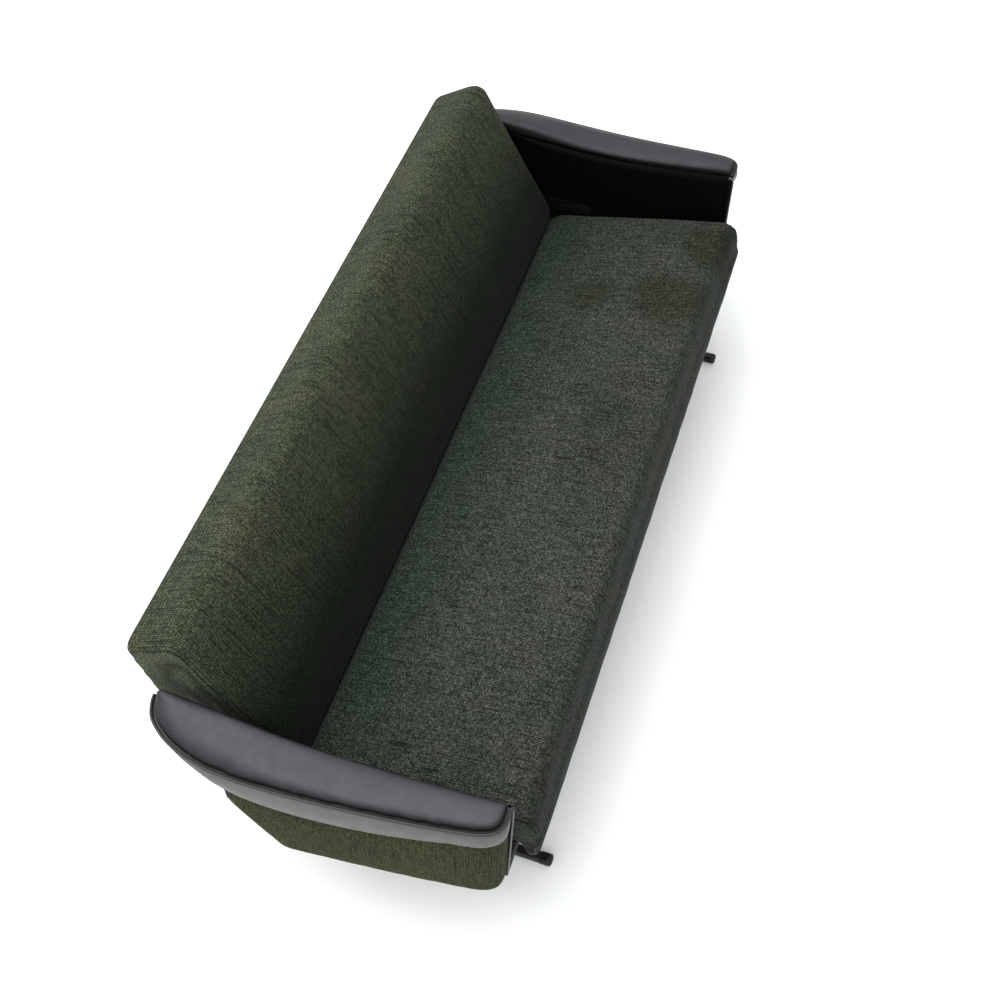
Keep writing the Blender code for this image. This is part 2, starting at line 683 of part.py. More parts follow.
def build_arm_brackets():
    """Steel brackets that carry the arms on the ends of the cross tubes."""
    wall = 0.004
    for end, (d, z) in (("front", FRONT_TUBE), ("rear", REAR_TUBE)):
        low = z + TUBE / 2 + GAP
        high = arm_under(d - 0.0085) - 0.0010
        near, far = depth_y(d - 0.0125), depth_y(d + 0.0125)
        reach = near - 0.030
        outline = [(far, low), (far, low + wall), (near + wall, low + wall), (near + wall, high),
                   (reach, high), (reach, high - wall), (near, high - wall), (near, low)]
        for side, sign in SIDES.items():
            ends = (sign * 0.9420, sign * 0.9780)
            add_plate("arm_bracket_" + end + "_" + side, [outline], *ends, "black_steel")


def guide_path(steps=12):
    """Places of the guide pin in side view over the whole fold, from the linked turns of seat and back."""
    places = []
    for k in range(steps + 1):
        share = k / steps
        seat = -SEAT_SLOPE * (1 - share)
        back = (math.pi / 2 - BACK_LEAN) * (1 - share)
        hinge = turned(SEAT_REACH, SEAT_RISE, seat)
        pin = turned(*GUIDE, back)
        places.append((depth_y(SEAT_HINGE[0]) + hinge[0] + pin[0], SEAT_HINGE[1] + hinge[1] + pin[1]))
    return places


def turned(y, z, angle):
    return y * math.cos(angle) - z * math.sin(angle), y * math.sin(angle) + z * math.cos(angle)


def build_guide_plates():
    """Slotted plates on the arms: the back's guide pins shift along the slots while the back turns."""
    path = guide_path()
    low_y, high_y = min(y for y, z in path), max(y for y, z in path)
    middle_z = (min(z for y, z in path) + max(z for y, z in path)) / 2
    slack = max(z for y, z in path) - middle_z
    radius = GUIDE_RADIUS + slack + 0.0004
    ends = rectangle((low_y + high_y) / 2, middle_z, (high_y - low_y) / 2 + radius, radius)
    slot = fillet([(y, z, radius * 0.999) for y, z in ends])
    screws_y = (depth_y(0.385), depth_y(0.455))
    outline = fillet([
        (screws_y[0] - 0.016, middle_z - 0.016, 0.012), (high_y + 0.024, middle_z - 0.022, 0.018),
        (high_y + 0.024, middle_z + 0.022, 0.018), (screws_y[0] - 0.016, middle_z + 0.016, 0.012),
    ])
    for side, sign in SIDES.items():
        inner, outer = sign * GUIDE_PLATE_X, sign * (GUIDE_PLATE_X + PLATE)
        plate = add_mesh_plate("guide_plate_" + side, [outline, slot], inner, outer, "black_steel")
        for y in screws_y:
            boss = rod_mesh(0.0080, sign * (GUIDE_PLATE_X + PLATE / 2), sign * (ARM_INNER - GAP), y, middle_z)
            add_tool(plate, boss, "UNION")


# ---------------------------------------------------------------- whole

def build():
    seat_hinge = add_empty("seat_hinge_axis", (0, depth_y(SEAT_HINGE[0]), SEAT_HINGE[1]), -SEAT_SLOPE)
    reach, rise = turned(SEAT_REACH, SEAT_RISE, -SEAT_SLOPE)
    back_at = (0, depth_y(SEAT_HINGE[0]) + reach, SEAT_HINGE[1] + rise)
    back_hinge = add_empty("back_hinge_axis", back_at, math.pi / 2 - BACK_LEAN)
    build_seat(seat_hinge)
    build_seat_plates(seat_hinge)
    build_back(back_hinge)
    build_back_plates(back_hinge)
    build_hinges(seat_hinge)
    build_rails()
    for side, sign in SIDES.items():
        build_arm(side, sign)
        build_trestle(side, sign)
    build_arm_brackets()
    build_guide_plates()


clear_scene()
PARTS = make_collection("sofa_bed")
CUTTERS = make_collection("cutters")
build()
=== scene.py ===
"""Looks of the click-clack sofa bed: woven upholstery, leatherette arms and a black steel base.

Metres, +Z up, the seat faces -Y. The seat and back panels are dressed in their own flat frames, in which X
runs along the sofa, Y across the panel and Z out of its upholstered face.
"""

import json
import math

import bmesh
import bpy
import numpy as np
from mathutils import Matrix, Vector, noise


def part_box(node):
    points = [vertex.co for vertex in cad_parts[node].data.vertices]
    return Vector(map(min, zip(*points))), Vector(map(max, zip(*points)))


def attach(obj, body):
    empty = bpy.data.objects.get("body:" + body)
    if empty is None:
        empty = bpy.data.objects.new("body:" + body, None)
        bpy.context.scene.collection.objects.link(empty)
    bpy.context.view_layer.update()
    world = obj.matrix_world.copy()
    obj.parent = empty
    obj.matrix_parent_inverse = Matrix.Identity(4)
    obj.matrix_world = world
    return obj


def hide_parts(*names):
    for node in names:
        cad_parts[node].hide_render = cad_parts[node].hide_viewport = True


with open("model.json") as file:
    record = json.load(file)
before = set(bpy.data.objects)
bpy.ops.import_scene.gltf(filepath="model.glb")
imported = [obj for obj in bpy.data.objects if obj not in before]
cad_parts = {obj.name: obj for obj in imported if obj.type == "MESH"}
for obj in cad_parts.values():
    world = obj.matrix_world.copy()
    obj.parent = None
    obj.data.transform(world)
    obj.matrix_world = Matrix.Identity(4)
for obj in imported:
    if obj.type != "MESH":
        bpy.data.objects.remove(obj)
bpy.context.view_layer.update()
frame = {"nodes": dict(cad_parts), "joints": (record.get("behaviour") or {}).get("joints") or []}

SIDES = {"left": -1, "right": 1}

# Camera.
CAMERA_AZIMUTH = -71.375
CAMERA_ELEVATION = 54.113
CAMERA_ROLL = 0.184
CAMERA_PLACE = (-1.928, -0.6742, 3.010)
CAMERA_LENS = 49.74

# Light: the sky's brightest direction, and its strength facing away from there and towards it.
SKY_BRIGHT = (-0.45, 0.40, 0.80)
SKY = (0.35, 1.90)

# Panel frames, from the joints. Each panel lies flat at the far end of its joint's range.
JOINTS = {joint["name"]: joint for joint in frame["joints"]}
SEAT_SLOPE = math.radians(JOINTS["seat_tilt"]["range_deg"][1])
RECLINE = math.radians(JOINTS["back_recline"]["range_deg"][1])
SEAT_FRAME = Matrix.Translation(JOINTS["seat_tilt"]["pos_m"]) @ Matrix.Rotation(-SEAT_SLOPE, 4, "X")
BACK_FRAME = (Matrix.Translation(JOINTS["back_recline"]["pos_m"])
              @ Matrix.Rotation(RECLINE - SEAT_SLOPE, 4, "X"))

# Arms, with depth d from their front faces.
FRONT_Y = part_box("arm_inner_lining_left")[0].y
ARM_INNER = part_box("arm_inner_lining_right")[0].x
ARM_DEPTH = 0.757
ARM_TOP = 0.574
ARM_DIP = 0.036
ARM_DIP_SPAN = 0.90
ARM_HEEL = 0.456
ARM_HEEL_RISE = 1.89
ARM_FLOOR = 0.279
ARM_FLOOR_FALL = 0.090
PIPING = 0.0035
PAD_CROWN = 0.0160
PAD_TILT = 0.017        # how much more the pad swells along its inner edge at the rear
INNER_RISE = 0.012      # how much higher its inner edge is sewn on there
PANEL_END = 0.576
BODY_START = 0.0210
BODY_DEPTH = 0.712
STRIP_FOOT = 0.3170
LINING_DEPTH = 0.740
LINING_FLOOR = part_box("arm_inner_lining_left")[0].z

# The lining's lower rear edge as (height, depth), and the slanting front trim's two ends as (x, height).
LINING_REAR = ((0.272, 0.515), (LINING_FLOOR, 0.535), (0.400, 0.566), (0.470, 0.598), (0.5345, 0.650),
               (0.560, 0.700))
TRIM_FOOT = (0.9585, 0.289)
TRIM_HEAD = (0.9345, 0.553)

# Soft panels, in their flat frames. SEAT_END, BACK_END, HEM and LIP are slabs of cloth, from and to along X.
UNDERSIDE = 0.0048
SEAT_SEAM = 0.8950
BACK_SEAM = 0.8905
SEAT_END = (0.888, 0.9055)
BACK_END = (0.884, 0.9010)
HEM = (-0.010, 0.8960)
LIP = (-0.010, 0.9055)
CUSHION_GRID = 0.0105
CUSHION_PUFF = 0.0085
CREASE_RADIUS = 0.0047
RAIL_HALF = 0.9563      # half the length of the front rail's cover

# Cloth under pressure.
SIM_FRAMES = 20
PRESSURE = 4.0
SINK = 0.0010

# Fittings.
BRACKET_X = 0.960
RAIL_LEAF_X = 0.55
LEAF_SCREWS = (-0.026, 0.0, 0.026)
GUIDE_SCREWS = (0.385, 0.455)
BACK_SCREWS = (0.080, 0.120, 0.160)
BACK_SCREW_HEIGHT = -0.1025
SCREW_HEIGHT = 0.0011
CROSS_TUBE_HALF = 0.0125


# ---------------------------------------------------------------- mesh helpers

def make_object(name, mesh):
    obj = bpy.data.objects.new(name, mesh)
    bpy.context.scene.collection.objects.link(obj)
    return obj


def mesh_from(name, bm):
    bmesh.ops.recalc_face_normals(bm, faces=bm.faces)
    mesh = bpy.data.meshes.new(name)
    bm.to_mesh(mesh)
    bm.free()
    mesh.shade_smooth()
    return mesh


def loft(name, rings):
    """A closed skin over rings of equal count, with the first and last ring capped."""
    bm = bmesh.new()
    rows = [[bm.verts.new(p) for p in ring] for ring in rings]
    count = len(rows[0])
    for a, b in zip(rows, rows[1:]):
        for k in range(count):
            n = (k + 1) % count
            bm.faces.new((a[k], a[n], b[n], b[k]))
    bm.faces.new(rows[0])
    bm.faces.new(rows[-1])
    return make_object(name, mesh_from(name, bm))


def tube(name, path, radius, sides):
    """A round cord along a path of points, with closed ends."""
    rings = []
    last = len(path) - 1
    for i, point in enumerate(path):
        along = (path[min(i + 1, last)] - path[max(i - 1, 0)]).normalized()
        across = along.orthogonal() if not rings else (across - along * across.dot(along))
        across.normalize()
        other = along.cross(across)
        angles = [2 * math.pi * k / sides for k in range(sides)]
        rings.append([point + (across * math.cos(a) + other * math.sin(a)) * radius for a in angles])
    return loft(name, rings)


def smooth_line(points, per_span):
    """A Catmull-Rom line through the points."""
    line = []
    last = len(points) - 1
    for i in range(last):
        p = [Vector(points[min(max(i + k, 0), last)]) for k in (-1, 0, 1, 2)]
        for part in range(per_span):
            t = part / per_span
            line.append(0.5 * (2 * p[1] + (p[2] - p[0]) * t
                               + (2 * p[0] - 5 * p[1] + 4 * p[2] - p[3]) * t * t
                               + (3 * p[1] - 3 * p[2] + p[3] - p[0]) * t ** 3))
    line.append(Vector(points[-1]))
    return line


def corner(points, radii, steps=5):
    """Rounds the corners of an outline given as (u, v) points, each by its radius."""
    rounded = []
    for i, (point, radius) in enumerate(zip(points, radii)):
        here = Vector(point)
        before = (Vector(points[i - 1]) - here).normalized()
        after = (Vector(points[(i + 1) % len(points)]) - here).normalized()
        reach = radius / math.tan(before.angle(after) / 2)
        for k in range(steps + 1):
            t = k / steps
            rounded.append(here + before * reach * (1 - t) ** 2 + after * reach * t ** 2)
    return rounded


def ease(value, low, high):
    """0 below low, 1 above high and a smooth rise between."""
    t = min(max((value - low) / (high - low), 0.0), 1.0)
    return t * t * (3 - 2 * t)


def paint(obj, look):
    obj.data.materials.clear()
    obj.data.materials.append(look)
    return obj


def mount(obj, body, slot, look, *nodes):
    """Gives a finished piece its material and body and hides the CAD nodes that it stands for; slot is not
    used.
    """
    paint(obj, look)
    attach(obj, body)
    if nodes:
        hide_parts(*nodes)
    return obj


# ---------------------------------------------------------------- shader helpers

class Look:
    """A material whose colour, roughness and bump are built from procedural nodes."""

    def __init__(self, name, roughness=0.5, metallic=0.0, **sockets):
        self.material = bpy.data.materials.new(name)
        self.material.use_nodes = True
        self.tree = self.material.node_tree
        self.shader = self.tree.nodes["Principled BSDF"]
        self.shader.inputs["Roughness"].default_value = roughness
        self.shader.inputs["Metallic"].default_value = metallic
        for socket, value in sockets.items():
            self.shader.inputs[socket.replace("_", " ")].default_value = value
        self.coords = self.tree.nodes.new("ShaderNodeTexCoord").outputs["Object"]

    def add(self, kind, inputs=None, **settings):
        node = self.tree.nodes.new("ShaderNode" + kind)
        for key, value in settings.items():
            setattr(node, key, value)
        for key, value in (inputs or {}).items():
            if isinstance(value, bpy.types.NodeSocket):
                self.tree.links.new(value, node.inputs[key])
            else:
                node.inputs[key].default_value = value
        return node

    def scaled(self, x, y, z, shift=(0, 0, 0)):
        """Object coordinates measured in features of x, y and z metres."""
        inputs = {"Vector": self.coords, "Scale": (1 / x, 1 / y, 1 / z), "Location": shift}
        return self.add("Mapping", inputs).outputs["Vector"]

    def noise(self, size, detail=2.0, rough=0.5, shift=(0, 0, 0)):
        """Noise whose features are about size metres; size may differ along X, Y and Z."""
        x, y, z = size if isinstance(size, tuple) else (size, size, size)
        inputs = {"Vector": self.scaled(x, y, z, shift), "Scale": 1.0, "Detail": detail, "Roughness": rough}
        return self.add("TexNoise", inputs).outputs["Fac"]

    def ramp(self, value, *stops):
        """Colour or grey stops as (position, colour)."""
        node = self.add("ValToRGB", {"Fac": value})
        elements = node.color_ramp.elements
        while len(elements) < len(stops):
            elements.new(0.5)
        for element, (position, colour) in zip(elements, stops):
            element.position = position
            element.color = (colour,) * 3 + (1.0,) if isinstance(colour, (int, float)) else (*colour, 1.0)
        return node.outputs["Color"]

    def math(self, operation, a, b=0.0):
        return self.add("Math", {0: a, 1: b}, operation=operation).outputs[0]

    def mix(self, share, a, b, blend="MIX"):
        node = self.add("Mix", {"Factor": share}, data_type="RGBA", blend_type=blend)
        for index, value in ((6, a), (7, b)):
            if isinstance(value, bpy.types.NodeSocket):
                self.tree.links.new(value, node.inputs[index])
            else:
                node.inputs[index].default_value = (*value, 1.0)
        return node.outputs[2]

    def set(self, socket, value):
        self.tree.links.new(value, self.shader.inputs[socket])

    def bump(self, height, distance, strength):
        node = self.add("Bump", {"Height": height, "Distance": distance, "Strength": strength})
        self.set("Normal", node.outputs["Normal"])


def wave(look, axis, pitch, jitter):
    """A sine along an axis given as a vector in object coordinates, its phase shaken by jitter."""
    along = look.add("VectorMath", {0: look.coords, 1: axis}, operation="DOT_PRODUCT").outputs["Value"]
    phase = look.math("MULTIPLY", along, 2 * math.pi / pitch)
    return look.math("SINE", look.math("ADD", phase, jitter))


def weave(name, yarns, ribs, wefts, streak_size, shade_over=None, pitch=0.0046):
    """A nubby basket weave: ribs crossed by wefts, dark pits between them, varied yarns and long dark slubs.

    yarns are five colours from dark to light. ribs and wefts are the directions across them. streak_size is a
    slub's size along X, Y and Z. shade_over(look, colour) shades the whole piece.
    """
    look = Look(name, roughness=0.95, Specular_IOR_Level=0.10, Sheen_Weight=0.03, Sheen_Roughness=0.5)
    jitter = look.math("MULTIPLY", look.noise(tuple(3.0 * max(c, 0.006) for c in streak_size), 2.0, 0.6), 9.0)
    rib = look.math("MULTIPLY_ADD", wave(look, ribs, pitch, jitter), 0.5)
    shake = look.math("MULTIPLY", look.noise(0.011, 2.0, 0.6, (5.2, 1.1, 3.3)), 9.0)
    weft = look.math("MULTIPLY_ADD", wave(look, wefts, pitch * 0.94, shake), 0.5)
    height = look.math("MULTIPLY", look.math("ADD", rib, weft), 0.5)
    grid = look.scaled(0.0030, 0.0034, 0.0030)
    cells = look.add("TexVoronoi", {"Vector": grid, "Scale": 1.0}, feature="F1")
    pick = look.add("SeparateColor", {"Color": cells.outputs["Color"]}).outputs[0]
    colour = look.ramp(pick, *zip((0.08, 0.30, 0.52, 0.76, 0.97), yarns))
    colour = look.mix(1.0, colour, look.ramp(height, (0.08, 0.06), (0.42, 1.00), (0.95, 1.50)), "MULTIPLY")
    streaks = look.noise(streak_size, 0.6, 0.5, (3.1, 0.7, 1.9))
    colour = look.mix(1.0, colour, look.ramp(streaks, (0.29, 0.40), (0.43, 0.97), (0.70, 1.07)), "MULTIPLY")
    broad = look.ramp(look.noise(0.14, 3.0, 0.55), (0.30, (0.84, 0.93, 0.92)), (0.70, (1.12, 1.05, 1.02)))
    colour = look.mix(1.0, colour, broad, "MULTIPLY")
    if shade_over:
        colour = shade_over(look, colour)
    look.set("Base Color", colour)
    look.bump(look.math("ADD", height, look.math("MULTIPLY", cells.outputs["Distance"], -0.3)), 0.0012, 0.7)
    return look.material


def spot(look, centre, radii, low, high):
    """1 inside an ellipsoid whose outline wanders, 0 outside, fading from low to high shares of its radii."""
    wobble = 0.35
    scale = tuple(1 / r for r in radii)
    shift = tuple(-c / r for c, r in zip(centre, radii))
    place = look.add("Mapping", {"Vector": look.coords, "Scale": scale, "Location": shift}).outputs["Vector"]
    far = look.add("VectorMath", {0: place}, operation="LENGTH").outputs["Value"]
    rough = look.math("MULTIPLY_ADD", look.noise(0.055, 4.0, 0.62, centre), wobble * 2)
    far = look.math("ADD", far, look.math("SUBTRACT", rough, wobble + 0.5))
    return look.ramp(far, (low, 1.0), (high, 0.0))


def along_panel(look, *stops):
    """Grey or colour by place along a panel's flat Y, with stops as (metres, colour)."""
    y = look.add("SeparateXYZ", {0: look.coords}).outputs[1]
    return look.ramp(look.math("MULTIPLY_ADD", y, 1.0), *[(at + 0.5, colour) for at, colour in stops])


def seat_shade_and_wear(look, colour):
    """Painted shade down the lip, cooler towards the rear crease and by the arms; brown wear patches, two
    soiled dashes.
    """
    # Painted shade: darker down the front lip, and darker and cooler towards the rear crease.
    painted_shading = along_panel(look, (-0.078, (0.60, 0.62, 0.60)), (-0.05, (1.04, 1.00, 0.98)),
                       (0.20, (1.00, 1.00, 1.00)), (0.38, (0.58, 0.76, 0.67)))
    colour = look.mix(1.0, colour, painted_shading, "MULTIPLY")
    # Painted shade by the arms: darker towards both ends.
    x = look.add("SeparateXYZ", {0: look.coords}).outputs[0]
    x = look.math("MULTIPLY_ADD", x, 0.5)
    ends = look.ramp(x, (0.08, 0.86), (0.30, 0.95), (0.45, 0.95), (0.85, 0.86))
    colour = look.mix(1.0, colour, ends, "MULTIPLY")
    brown = (0.60, 0.58, 0.38)
    for centre, radii, share in (((0.575, 0.225, 0.12), (0.075, 0.075, 0.20), 0.75),
                                 ((0.585, 0.020, 0.12), (0.105, 0.130, 0.20), 0.80),
                                 ((0.800, -0.035, 0.10), (0.100, 0.085, 0.20), 0.85),
                                 ((0.110, 0.060, 0.12), (0.260, 0.120, 0.20), 0.30)):
        mask = look.math("MULTIPLY", spot(look, centre, radii, 0.55, 1.15), share)
        colour = look.mix(mask, colour, look.mix(1.0, colour, brown, "MULTIPLY"))
    for centre, radii in (((0.012, 0.128, 0.12), (0.006, 0.030, 0.10)),
                          ((-0.802, 0.243, 0.12), (0.006, 0.040, 0.10))):
        soiled = look.mix(1.0, colour, (0.35, 0.35, 0.35), "MULTIPLY")
        colour = look.mix(spot(look, centre, radii, 0.5, 1.3), colour, soiled)
    return colour


def back_shading(look, colour):
    """Painted light on the top lip, lighter and browner there, and painted shade deeper down towards the
    crease.
    """
    # Painted shade low down by the crease, painted light on the top lip.
    painted_shading = along_panel(look, (0.00, (0.11, 0.15, 0.12)), (0.17, (0.16, 0.22, 0.16)),
                       (0.34, (0.86, 0.92, 0.82)), (0.45, (1.12, 1.13, 1.06)))
    return look.mix(1.0, colour, painted_shading, "MULTIPLY")


def leatherette(name, colour, roughness=0.42, grain=0.0014, shine=0.5, side_shade=None):
    """Coated cloth with a fine pebble grain and uneven polish.

    The last argument is the share of colour and shine left where the surface doesn't face up: painted shade
    and sheen.
    """
    look = Look(name, Specular_IOR_Level=shine)
    tone = look.ramp(look.noise(0.035, 4.0, 0.6), (0.30, tuple(c * 0.86 for c in colour)),
                     (0.72, tuple(c * 1.14 for c in colour)))
    if side_shade:
        # Painted shade and sheen: darker and duller where the surface faces sideways or down.
        upward = look.add("SeparateXYZ", {0: look.add("NewGeometry").outputs["Normal"]}).outputs[2]
        upward = look.math("ADD", upward, look.math("MULTIPLY", look.noise(0.030, 3.0), 0.10))
        facing_shade = look.ramp(upward, (0.55, side_shade), (0.86, 0.5 + side_shade / 2), (1.0, 1.0))
        # Painted shade: the pad on the right, far arm (positive X) is darker still.
        across = look.add("SeparateXYZ", {0: look.coords}).outputs[0]
        facing_shade = look.mix(1.0, facing_shade, look.ramp(across, (0.0, 1.0), (0.9, 0.84)), "MULTIPLY")
        tone = look.mix(1.0, tone, facing_shade, "MULTIPLY")
        look.set("Specular IOR Level", look.math("MULTIPLY", facing_shade, shine))
    look.set("Base Color", tone)
    polish = look.noise(0.020, 3.0, 0.6, (1.3, 2.9, 0.4))
    look.set("Roughness", look.ramp(polish, (0.3, roughness - 0.05), (0.7, roughness + 0.07)))
    cells = look.add("TexVoronoi", {"Vector": look.scaled(grain, grain, grain), "Scale": 1.0},
                     feature="F1").outputs["Distance"]
    height = look.math("ADD", cells, look.math("MULTIPLY", look.noise(0.006, 3.0), 0.8))
    look.bump(height, 0.00035, 0.55)
    return look.material


def painted_steel(name, colour):
    """Enamelled steel, scuffed a little lighter in places."""
    look = Look(name, Specular_IOR_Level=0.30)
    scuff = look.noise((0.010, 0.030, 0.030), 5.0, 0.65)
    look.set("Base Color", look.ramp(scuff, (0.45, colour), (0.78, tuple(c * 2.2 + 0.004 for c in colour))))
    look.set("Roughness", look.ramp(look.noise(0.012, 3.0), (0.3, 0.30), (0.7, 0.46)))
    look.bump(look.noise(0.0022, 2.0), 0.00012, 0.5)
    return look.material


def zinc(name):
    look = Look(name, metallic=1.0)
    tone = look.ramp(look.noise(0.004, 4.0), (0.3, (0.38, 0.39, 0.40)), (0.7, (0.62, 0.62, 0.60)))
    look.set("Base Color", tone)
    look.set("Roughness", look.ramp(look.noise(0.003, 3.0), (0.3, 0.28), (0.7, 0.48)))
    return look.material


def beech(name, along):
    """Planed beech with its grain along an axis, 0 for X or 1 for Y."""
    look = Look(name, roughness=0.55)
    size = [0.0040, 0.0040, 0.0040]
    size[along] = 0.110
    grain = look.noise(tuple(size), 4.0, 0.6)
    look.set("Base Color", look.ramp(grain, (0.32, (0.36, 0.22, 0.11)), (0.52, (0.52, 0.35, 0.19)),
                                     (0.72, (0.62, 0.45, 0.27))))
    look.bump(grain, 0.0004, 0.4)
    return look.material


def strap_cloth(name, colour):
    """Plain cloth or rubber with fine ribs both ways."""
    look = Look(name, roughness=0.9, Sheen_Weight=0.1)
    ribs = look.math("MULTIPLY", wave(look, (1, 0, 0), 0.0028, 0.0), wave(look, (0, 1, 0), 0.0028, 0.0))
    look.set("Base Color", look.ramp(look.noise(0.006, 3.0), (0.3, tuple(c * 0.7 for c in colour)),
                                     (0.7, tuple(c * 1.25 for c in colour))))
    look.bump(ribs, 0.0004, 0.6)
    return look.material


# ---------------------------------------------------------------- looks

GREEN_YARNS = ((0.0110, 0.0145, 0.0112), (0.0250, 0.0302, 0.0247), (0.0350, 0.0400, 0.0332),
               (0.0465, 0.0515, 0.0430), (0.0780, 0.0830, 0.0700))
BACK_YARNS = ((0.0128, 0.0165, 0.0099), (0.0220, 0.0268, 0.0166), (0.0308, 0.0353, 0.0226),
              (0.0407, 0.0460, 0.0292), (0.0600, 0.0660, 0.0428))
OLIVE_YARNS = ((0.0090, 0.0095, 0.0025), (0.0180, 0.0186, 0.0054), (0.0260, 0.0268, 0.0080),
               (0.0360, 0.0366, 0.0115), (0.0560, 0.0560, 0.0190))


def make_looks():
    slub_y = (0.0025, 0.085, 0.060)
    return {
        "seat": weave("seat_weave", GREEN_YARNS, (1, 0, 0), (0, 0.86, 0.51), slub_y, seat_shade_and_wear),
        "back": weave("back_weave", BACK_YARNS, (1, 0, 0), (0, 0.86, -0.51), slub_y, back_shading),
        "olive": weave("arm_weave", OLIVE_YARNS, (0, 1, 0), (0, 0, 1), (0.020, 0.0034, 0.040), None, 0.0052),
        "rail": weave("rail_weave", GREEN_YARNS, (1, 0, 0), (0, 0, 1), slub_y),
        # The pad's leatherette is painted darker on its sides and on the far arm: painted shade and sheen.
        "leatherette": leatherette("arm_leatherette", (0.030, 0.028, 0.034), 0.44, shine=0.36, side_shade=0.25),
        # The band's leatherette is painted lighter than the pad's: painted light.
        "band": leatherette("band_leatherette", (0.060, 0.063, 0.059), 0.46),
        "lining": leatherette("lining_leatherette", (0.0006, 0.0009, 0.0013), 0.60, shine=0.05),
        "piping": leatherette("piping_leatherette", (0.006, 0.005, 0.006), 0.36, 0.0010),
        "trim": leatherette("trim_leatherette", (0.100, 0.103, 0.107), 0.45, 0.0010),
        "black": painted_steel("black_enamel", (0.0045, 0.0042, 0.0042)),
        "zinc": zinc("zinc_plate"),
        "blued": painted_steel("blackened_steel", (0.0012, 0.0013, 0.0015)),
        "beech_x": beech("beech_along", 0),
        "beech_y": beech("beech_across", 1),
        "webbing": strap_cloth("jute_webbing", (0.18, 0.11, 0.055)),
        # Near-black cloth for the crease roll: painted shade of the fold.
        "crease": strap_cloth("crease_shade_cloth", (0.0030, 0.0042, 0.0032)),
        "dust": strap_cloth("dust_cloth", (0.014, 0.014, 0.014)),
        "rubber": strap_cloth("black_rubber", (0.012, 0.012, 0.012)),
        "cap": leatherette("moulded_cap", (0.0030, 0.0028, 0.0028), 0.42, 0.0020, 0.3),
    }


def node_look(node):
    """Which look a CAD node that stays visible wears."""
    if node.startswith("arm_core"):
        return "lining"
    if node.endswith("_webbing"):
        return "webbing"
    names = {"seat_dust_cover": "dust", "seat_stop_strip": "rubber", "seat_frame_rear": "rail",
             "back_frame_bottom": "rail", "back_frame_top": "rail"}
    if node in names:
        return names[node]
    if node.startswith(("seat_frame", "back_frame")):
        return "beech_y" if node.endswith(("left", "right")) else "beech_x"
    if node.startswith(("guide_plate", "back_hinge_rivet", "back_guide_pin")):
        return "blued"
    return "zinc" if node.startswith(("seat_hinge_leaf", "rail_hinge_leaf", "seat_hinge_pin")) else "black"


def dress_nodes(looks):
    for node, obj in frame["nodes"].items():
        if not obj.hide_render:
            paint(obj, looks[node_look(node)])


# ---------------------------------------------------------------- soft mesh work

def node_mesh(node, panel):
    """A copy of a CAD node's mesh, in a panel's flat frame."""
    source = frame["nodes"][node]
    mesh = source.data.copy()
    mesh.transform(panel.inverted() @ source.matrix_world)
    return mesh


def places(mesh):
    flat = np.empty(len(mesh.vertices) * 3)
    mesh.vertices.foreach_get("co", flat)
    return flat.reshape(-1, 3)


def normals(mesh):
    flat = np.empty(len(mesh.vertices) * 3)
    mesh.vertices.foreach_get("normal", flat)
    return flat.reshape(-1, 3)


def set_places(mesh, points):
    mesh.vertices.foreach_set("co", points.ravel())
    mesh.update()


def step(values, low, high):
    """What ease gives, for an array of values."""
    t = np.clip((values - low) / (high - low), 0.0, 1.0)
    return t * t * (3 - 2 * t)


def apply_modifiers(obj):
    graph = bpy.context.evaluated_depsgraph_get()
    mesh = bpy.data.meshes.new_from_object(obj.evaluated_get(graph))
    obj.modifiers.clear()
    obj.data = mesh
    mesh.shade_smooth()


def average(mesh, values, rounds):
    """Values at the vertices, each drawn half way to the mean of its neighbours."""
    edges = np.empty(len(mesh.edges) * 2, dtype=np.int64)
    mesh.edges.foreach_get("vertices", edges)
    a, b = edges.reshape(-1, 2).T
    count = np.bincount(np.concatenate((a, b)), minlength=len(values))[:, None]
    for _ in range(rounds):
        total = np.zeros_like(values)
        np.add.at(total, a, values[b])
        np.add.at(total, b, values[a])
        values = values + (total / count - values) * 0.5
    return values


def relax(mesh, rounds):
    """Evens out the surface, which rounds off its edges."""
    set_places(mesh, average(mesh, places(mesh), rounds))


